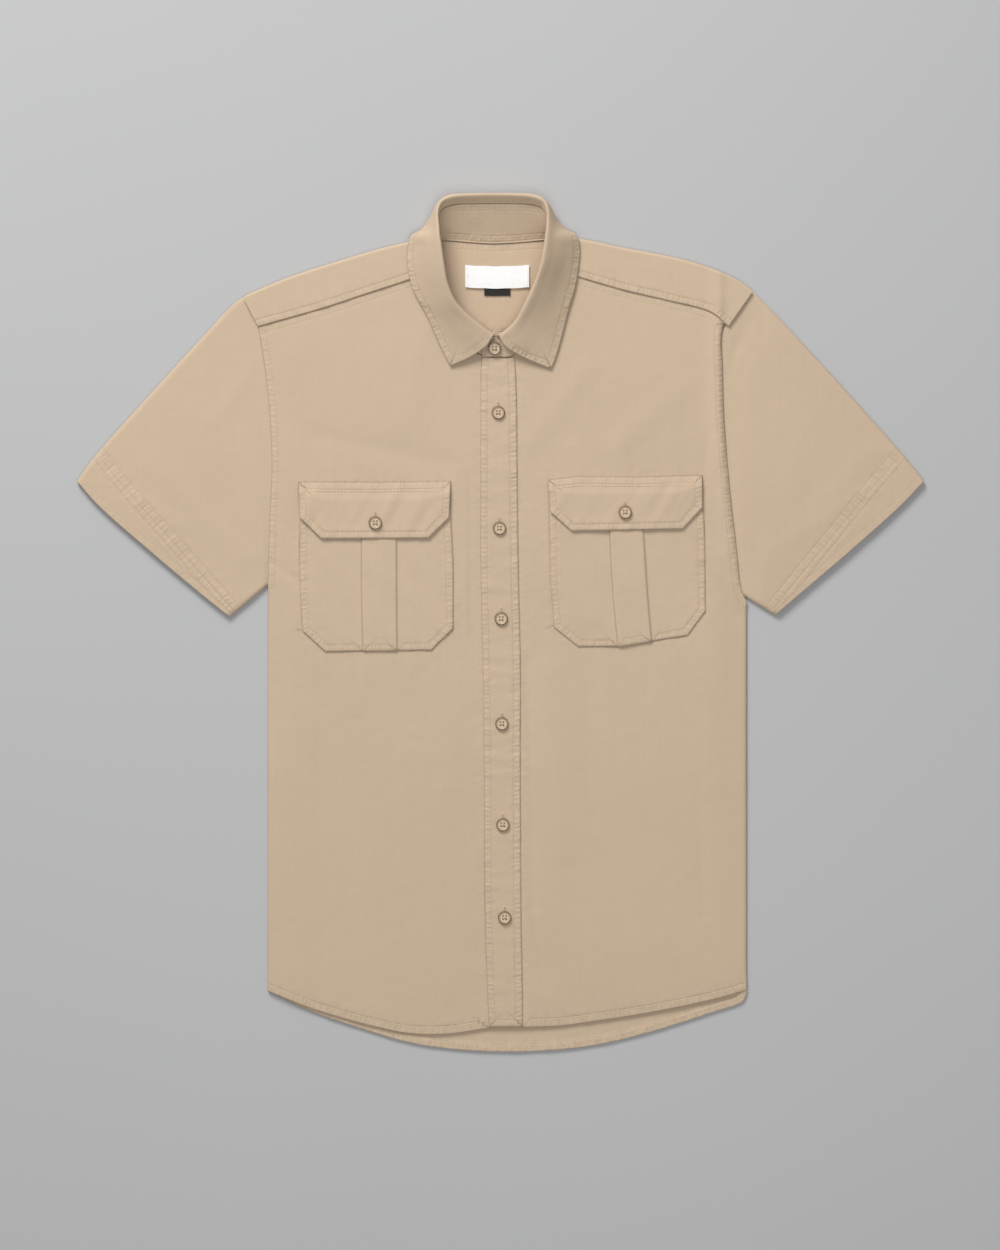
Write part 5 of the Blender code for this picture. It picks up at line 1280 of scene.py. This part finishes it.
def collar_stand_piece():
    """The stand: straight from its foot to just short of the leaf's seam, with soft ripples inside."""
    pairs = STAND_UNDER_END + [(station[0], station[1]) for station in COLLAR] + STAND_OVER_END
    foot = smooth([pair[0] for pair in pairs], COLLAR_STEPS)
    head = smooth([pair[1] for pair in pairs], COLLAR_STEPS)
    toward = (head - foot) / np.linalg.norm(head - foot, axis=1, keepdims=True)
    leaf_line = smooth([station[2] for station in COLLAR], COLLAR_STEPS)
    away = np.zeros_like(toward)
    away[2 * COLLAR_STEPS:-2 * COLLAR_STEPS] = leaf_line - head[2 * COLLAR_STEPS:-2 * COLLAR_STEPS]
    away /= np.maximum(np.linalg.norm(away, axis=1, keepdims=True), 1e-6)
    bend = np.linalg.norm(np.cross(toward, away), axis=1, keepdims=True)
    top = head - toward * (COLLAR_SEAM + COLLAR_CLOTH / 2 * bend)
    share = np.linspace(0.0, 1.0, 26)[:, None, None]
    middle = foot[None] + share * (top - foot)[None]
    normal = square_to(middle)
    up = lengths(middle, 0)
    run = lengths(middle, 1)
    to_top = up[-1:] - up
    far = np.minimum(up, to_top)
    pull = np.where(up < to_top, 0.9, 0.75) * np.ones_like(run)
    facts = (far, run + np.where(up < to_top, 0.0, 700.0), pull)
    ease = np.clip(far / 1.5, 0.0, 1.0)
    relief = 0.7 * puckers(far, facts[1], pull, 5.0) * ease + 0.5 * (chance_2d(run / 15.0, up / 12.0, 51) - 0.5) * ease
    relief = np.clip(relief, -0.25, 0.3)
    outward = 1.0 if normal[0, len(foot) // 2, 1] > 0 else -1.0
    outer = middle + normal * outward * (COLLAR_CLOTH / 2 + np.minimum(relief, 0.1)[..., None] * 0.6)
    inner = middle - normal * outward * (COLLAR_CLOTH / 2 + relief[..., None])
    piece = cloth("collar_stand_band", outer, inner, twill, facts)
    lines = []
    for side, sign in ((outer, outward), (inner, -outward)):
        for measure, inset in ((up, STAND_STITCH), (to_top[::-1], STAND_STITCH)):
            grid = side if measure is up else side[::-1]
            leaning = (normal if measure is up else normal[::-1]) * sign
            lines.append((level_line(grid, measure, inset, 0)[4:-4], level_line(leaning, measure, inset, 0)[4:-4]))
    lines.append((level_line(inner, up, 4.6, 0)[4:-4], -outward * level_line(normal, up, 4.6, 0)[4:-4]))
    sewn = stitches("collar_stand_stitches", lines, thread)
    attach(piece, "root")
    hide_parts("collar_stand")
    return piece


collar_stand_piece()


def neck_cord():
    """The turned edge of the stand's inner layer, a low round welt along the neck seam inside the back."""
    foot = smooth([station[0] for station in COLLAR], COLLAR_STEPS)[9 * COLLAR_STEPS:18 * COLLAR_STEPS + 1]
    ahead = np.gradient(foot, axis=0)[:, :2]
    ahead /= np.linalg.norm(ahead, axis=1)[:, None]
    inward = np.stack([ahead[:, 1], -ahead[:, 0]], axis=1)
    line = np.column_stack([foot[:, :2] + 0.55 * inward, np.full(len(foot), CLOTH + 0.55)])
    points, quads = tube(line, 0.75, 8)
    piece = surface("neck_seam_welt", points, quads, twill, np.tile([2.0, 0.0, 0.0], (len(points), 1)))
    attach(piece, "root")


neck_cord()

# The collar leaf.
# The turned-down part of the collar, of two layers of twill round a lining, sewn to the stand. It rolls
# over, falls to the fronts and ends in two points, with stitching a presser foot in from its edges.
LEAF_STITCH = 6.3


def collar_leaf_piece():
    """The leaf: smooth sections through each station's five points, puckered along its free edges."""
    stations = np.array([station[1:] for station in COLLAR], float)
    lines = np.stack([smooth(stations[:, k], COLLAR_STEPS) for k in range(stations.shape[1])], axis=1)
    sections = np.stack([smooth(section, 13) for section in lines])
    middle = np.swapaxes(sections, 0, 1)
    middle[..., 2] = np.maximum(middle[..., 2], COLLAR_CLOTH / 2 + 0.02)
    normal = square_to(middle)
    shown = 1.0 if normal[30, 40, 2] > 0 else -1.0
    down = lengths(middle, 0)
    to_edge = down[-1:] - down
    from_start = lengths(middle, 1)
    to_end = from_start[:, -1:] - from_start
    edges = np.stack([to_edge, from_start, to_end])
    which = edges.argmin(axis=0)
    far = edges.min(axis=0)
    place = np.select([which == 0, which == 1], [from_start[-1:] + 0 * far, to_edge + 1300.0], to_edge + 2100.0)
    pull = np.select([which == 0, which == 1], [0.95, 0.4], 1.25)
    ease = np.clip(far / 1.2, 0.0, 1.0) * np.clip((middle[..., 2] - 1.0) / 3.0, 0.0, 1.0)
    near_seam = np.clip(down / 6.0, 0.0, 1.0)
    relief = 0.8 * puckers(far, place, pull, LEAF_STITCH) + 0.55 * (chance_2d(from_start / 24.0, down / 17.0, 61) - 0.5)
    relief = np.clip(relief, -0.35, 0.6) * ease * near_seam
    outer = middle + shown * normal * (COLLAR_CLOTH / 2 + relief[..., None])
    inner = middle - shown * normal * (COLLAR_CLOTH / 2)
    for grid in (outer, inner):
        grid[..., 2] = np.maximum(grid[..., 2], 0.0)
    piece = cloth("collar_leaf_piece", outer, inner, twill, (far, place, pull))
    lean = shown * normal
    rows = slice(8, -9)

    def sewn_along(measure, turn, axis, kept):
        """A stitch line one stitch width in from an edge, and the way up along it."""
        line, up = (level_line(turn(grid), measure, LEAF_STITCH, axis) for grid in (outer, lean))
        return line[kept], up[kept]

    sewn_lines = [
        sewn_along(to_edge[::-1], lambda grid: grid[::-1], 0, slice(8, -8)),
        sewn_along(from_start, lambda grid: grid, 1, rows),
        sewn_along(to_end[:, ::-1], lambda grid: grid[:, ::-1], 1, rows),
    ]
    sewn = stitches("collar_leaf_stitches", sewn_lines, thread)
    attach(piece, "root")
    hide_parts("collar_leaf")
    return piece


collar_leaf_piece()

# The buttons.
# Four-hole buttons of tan horn-look resin with a raised rim, sewn on with crossed thread: six on the
# strip, one on the collar stand and one on each flap.
BUTTON_THICKNESS = 2.2
BUTTON_FLOOR = 1.45
BUTTON_HOLE_RADIUS = 0.8
BUTTON_HOLE_OFFSET = 1.4
COLLAR_BUTTON = (-5.6, 257.6)
STAND_SLOPE = math.atan2(3.8, 17.6)
BUTTON_SIDES = 56


def horn_finish():
    """Horn-look resin: tan streaked with brown, with a soft gloss. Where the seam attribute says, it is mixed
    towards near-black: painted shade in the holes and at the inner foot of the rim, and over the rim's
    outer slope and edge partly the horn's darker edge and partly painted shade.
    """
    made, tree, shader = finish_of("horn", 0.38, specular=0.5)
    place = tree.node("ShaderNodeTexCoord", {}, {}, "Object")
    streak = tree.node("ShaderNodeMapping", {}, {"Vector": place, "Scale": (900.0, 260.0, 260.0)})
    grain = tree.node("ShaderNodeTexNoise", {}, {"Vector": streak, "Scale": 1.0, "Detail": 3.0}, "Fac")
    # The seam attribute's first part is a mask of painted shade for the holes and the rim's inner foot, and, over the
    # rim's outer slope and edge, partly the horn's darker edge and partly painted shade.
    depth = tree.node("ShaderNodeAttribute", {"attribute_name": "seam"}, {}, "Vector")
    parts = tree.node("ShaderNodeSeparateXYZ", {}, {"Vector": depth})
    shade_mask = Wire(tree.tree, parts.socket.node.outputs[0])
    body = tree.node(
        "ShaderNodeMix", {"data_type": "RGBA"}, {0: grain, 6: (0.50, 0.355, 0.215, 1.0), 7: (0.68, 0.53, 0.36, 1.0)}, 2
    )
    colour = tree.node(
        "ShaderNodeMix", {"data_type": "RGBA"}, {0: shade_mask.clamp(), 6: body, 7: (0.10, 0.045, 0.02, 1.0)}, 2
    )
    bump = tree.node("ShaderNodeBump", {}, {"Height": grain, "Strength": 0.3, "Distance": 0.0002})
    tree.tree.links.new(colour.socket, shader.inputs["Base Color"])
    tree.tree.links.new(bump.socket, shader.inputs["Normal"])
    return made


horn = horn_finish()


def button_piece(node, x, y, tilt=0.0):
    """A turned button: an underside, a rounded edge, a raised rim and a sunk face with four holes, and two
    crossed threads. It stands on the CAD button's own place."""
    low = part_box(node)[0][2] / MM
    radius = np.concatenate([
        [0.4, 0.92, 0.985, 1.0, 1.0, 0.985, 0.95, 0.9, 0.85, 0.8, 0.76, 0.72], np.linspace(0.69, 0.03, 22),
    ]) * BUTTON_RADIUS
    height = np.concatenate([
        [0.0, 0.0, 0.2, 0.5, 1.1, 1.6, 1.95, 2.15, 2.2, 2.1, 1.85, 1.6], np.full(22, BUTTON_FLOOR),
    ])
    turn = np.linspace(0.0, 2 * np.pi, BUTTON_SIDES, endpoint=False)
    px, py = radius[:, None] * np.cos(turn), radius[:, None] * np.sin(turn)
    pz = height[:, None] + 0.0 * px
    sunk = np.zeros_like(px)
    for side_x in (-1, 1):
        for side_y in (-1, 1):
            off = np.hypot(px - side_x * BUTTON_HOLE_OFFSET, py - side_y * BUTTON_HOLE_OFFSET)
            sunk = np.maximum(sunk, np.clip((BUTTON_HOLE_RADIUS + 0.1 - off) / 0.2, 0.0, 1.0))
    upper = (np.arange(len(radius)) > 11)[:, None]
    sunk = sunk * upper
    pz = pz - 1.1 * sunk
    body = np.vstack([np.stack([px, py, pz], axis=-1).reshape(-1, 3), [[0.0, 0.0, 0.0]], [[0.0, 0.0, BUTTON_FLOOR]]])
    # Painted shade on the button: the holes and the inner foot of the raised rim are darkened; the rim's outer slope
    # and edge are darkened too, partly the horn's darker edge and partly painted shade.
    rim = np.interp(radius / BUTTON_RADIUS, [0.62, 0.72, 0.76, 0.82, 0.9], [0.0, 0.45, 0.1, 0.35, 0.85])[:, None]
    shade = np.concatenate([(sunk + rim).ravel(), [0.0, 0.0]])

    def placed(points):
        """Button points turned by the tilt about X and moved to the button's place."""
        turned = points.copy()
        turned[:, 1] = points[:, 1] * math.cos(tilt) - points[:, 2] * math.sin(tilt)
        turned[:, 2] = points[:, 1] * math.sin(tilt) + points[:, 2] * math.cos(tilt)
        drop = -BUTTON_RADIUS * 0.92 * math.sin(tilt)
        return turned + np.array([x, y, low - drop])

    quads = turned_quads(len(radius), BUTTON_SIDES)
    facts = np.stack([shade, 0 * shade, 0 * shade], axis=1)
    piece = surface(node + "_turned", placed(body), quads, horn, facts)
    share = np.linspace(-1.0, 1.0, 9)
    points, faces, offset = [], [], 0
    for cross, rise in ((1.0, 0.35), (-1.0, 0.6)):
        line = np.stack([
            share * BUTTON_HOLE_OFFSET * 1.1, cross * share * BUTTON_HOLE_OFFSET * 1.1,
            BUTTON_FLOOR + rise - 1.1 * np.abs(share) ** 6,
        ], axis=1)
        bar, bar_quads = tube(line, 0.34)
        points.append(bar)
        faces.append(bar_quads + offset)
        offset += len(bar)
    sewn = surface(node + "_thread", placed(np.vstack(points)), np.vstack(faces), thread)
    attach(piece, "root")
    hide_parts(node)
    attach(sewn, "root")


for number, (x, y) in enumerate(PLACKET_BUTTONS, start=1):
    button_piece(f"button_{number}", x, y)
for flap_name, side_name in (("flap_right", "right"), ("flap_left", "left")):
    button_piece(f"button_pocket_{side_name}", *FLAPS[flap_name]["button"])
button_piece("button_collar", *COLLAR_BUTTON, STAND_SLOPE)

# The neck label and the size tab.
# A bare white woven label with turned-in ends, sewn inside the yoke at both ends, over a bare black tab.
LABEL_WIDTH = 60.0
LABEL_X = -3.2
LABEL_BOTTOM = 315.0
LABEL_TOP = 336.0
LABEL_SAG = 1.2
LABEL_THICKNESS = 0.6
TAB_WIDTH = 24.5
TAB_X = -3.0
TAB_BOTTOM = 306.9
TAB_TOP = 319.0


def tape_finish(name, tone, ribs):
    """Woven tape in one tone: fine ribs across it and a little unevenness."""
    made, tree, shader = finish_of(name, 0.7, sheen=0.1, specular=0.3)
    place = tree.node("ShaderNodeTexCoord", {}, {}, "Object")
    rib = tree.node(
        "ShaderNodeTexWave", {"wave_type": "BANDS", "bands_direction": "Y"},
        {"Vector": place, "Scale": ribs, "Distortion": 0.6}, "Fac",
    )
    uneven = tree.node("ShaderNodeTexNoise", {}, {"Vector": place, "Scale": 260.0, "Detail": 3.0}, "Fac")
    shade = 0.95 + (rib - 0.5) * 0.04 + uneven * 0.08
    colour = tree.node(
        "ShaderNodeMix", {"data_type": "RGBA", "blend_type": "MULTIPLY"},
        {0: 1.0, 6: tone, 7: tree.node("ShaderNodeCombineColor", {}, {0: shade, 1: shade, 2: shade})}, 2,
    )
    bump = tree.node("ShaderNodeBump", {}, {"Height": rib * 0.1 + uneven * 0.2, "Strength": 1.0, "Distance": 0.001})
    tree.tree.links.new(colour.socket, shader.inputs["Base Color"])
    tree.tree.links.new(bump.socket, shader.inputs["Normal"])
    return made


def tape(name, node, finish, x, width, bottom, top, low, thickness, sag):
    """A flat tape: rows run up, columns across; its ends are turned in, so they are thicker."""
    u = np.linspace(-0.5, 0.5, 50)[None, :]
    v = np.linspace(0.0, 1.0, 20)[:, None]
    across = x + width * u + 0.0 * v
    up = bottom + (top - bottom) * v - sag * (1 - 4 * u**2) + 0.12 * np.sin(across / 3.1)
    plan = np.stack([across, up], axis=-1)
    ends = np.clip((np.abs(u) * width - width / 2 + 3.5) / 0.8, 0.0, 1.0)
    raised = 0.25 * ends + 0.25 * np.sin(np.pi * v) * np.cos(u * 3.0)
    raised = raised + 0.12 * (chance_2d(across / 9.0, up / 7.0, 71) - 0.5)
    piece = cloth(name, lift(plan, low + thickness + raised), lift(plan, low), finish, (across, up, 0 * u))
    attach(piece, "root")
    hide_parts(node)
    return piece


tab_low = CLOTH + SEAM
label_low = tab_low + LABEL_THICKNESS + SEAM
tape("size_tab_tape", "size_tab", tape_finish("black_tape", (0.018, 0.017, 0.016, 1.0), 500.0),
                TAB_X, TAB_WIDTH, TAB_BOTTOM, TAB_TOP, tab_low, LABEL_THICKNESS, 0.0)
label = tape("neck_label_tape", "label", tape_finish("white_tape", (0.93, 0.93, 0.93, 1.0), 420.0),
             LABEL_X, LABEL_WIDTH, LABEL_BOTTOM, LABEL_TOP, label_low, LABEL_THICKNESS, LABEL_SAG)
label_ends = []
for end_x in (LABEL_X - LABEL_WIDTH / 2 + 2.0, LABEL_X + LABEL_WIDTH / 2 - 2.0):
    rise = np.stack([np.full(12, end_x), np.linspace(LABEL_BOTTOM + 1.5, LABEL_TOP - 1.5, 12),
                     np.full(12, label_low + LABEL_THICKNESS + 0.5)], axis=1)
    label_ends.append((rise, UP))
stitches("neck_label_stitches", label_ends, label.data.materials[0], 2.6, 1.9, 0.4)
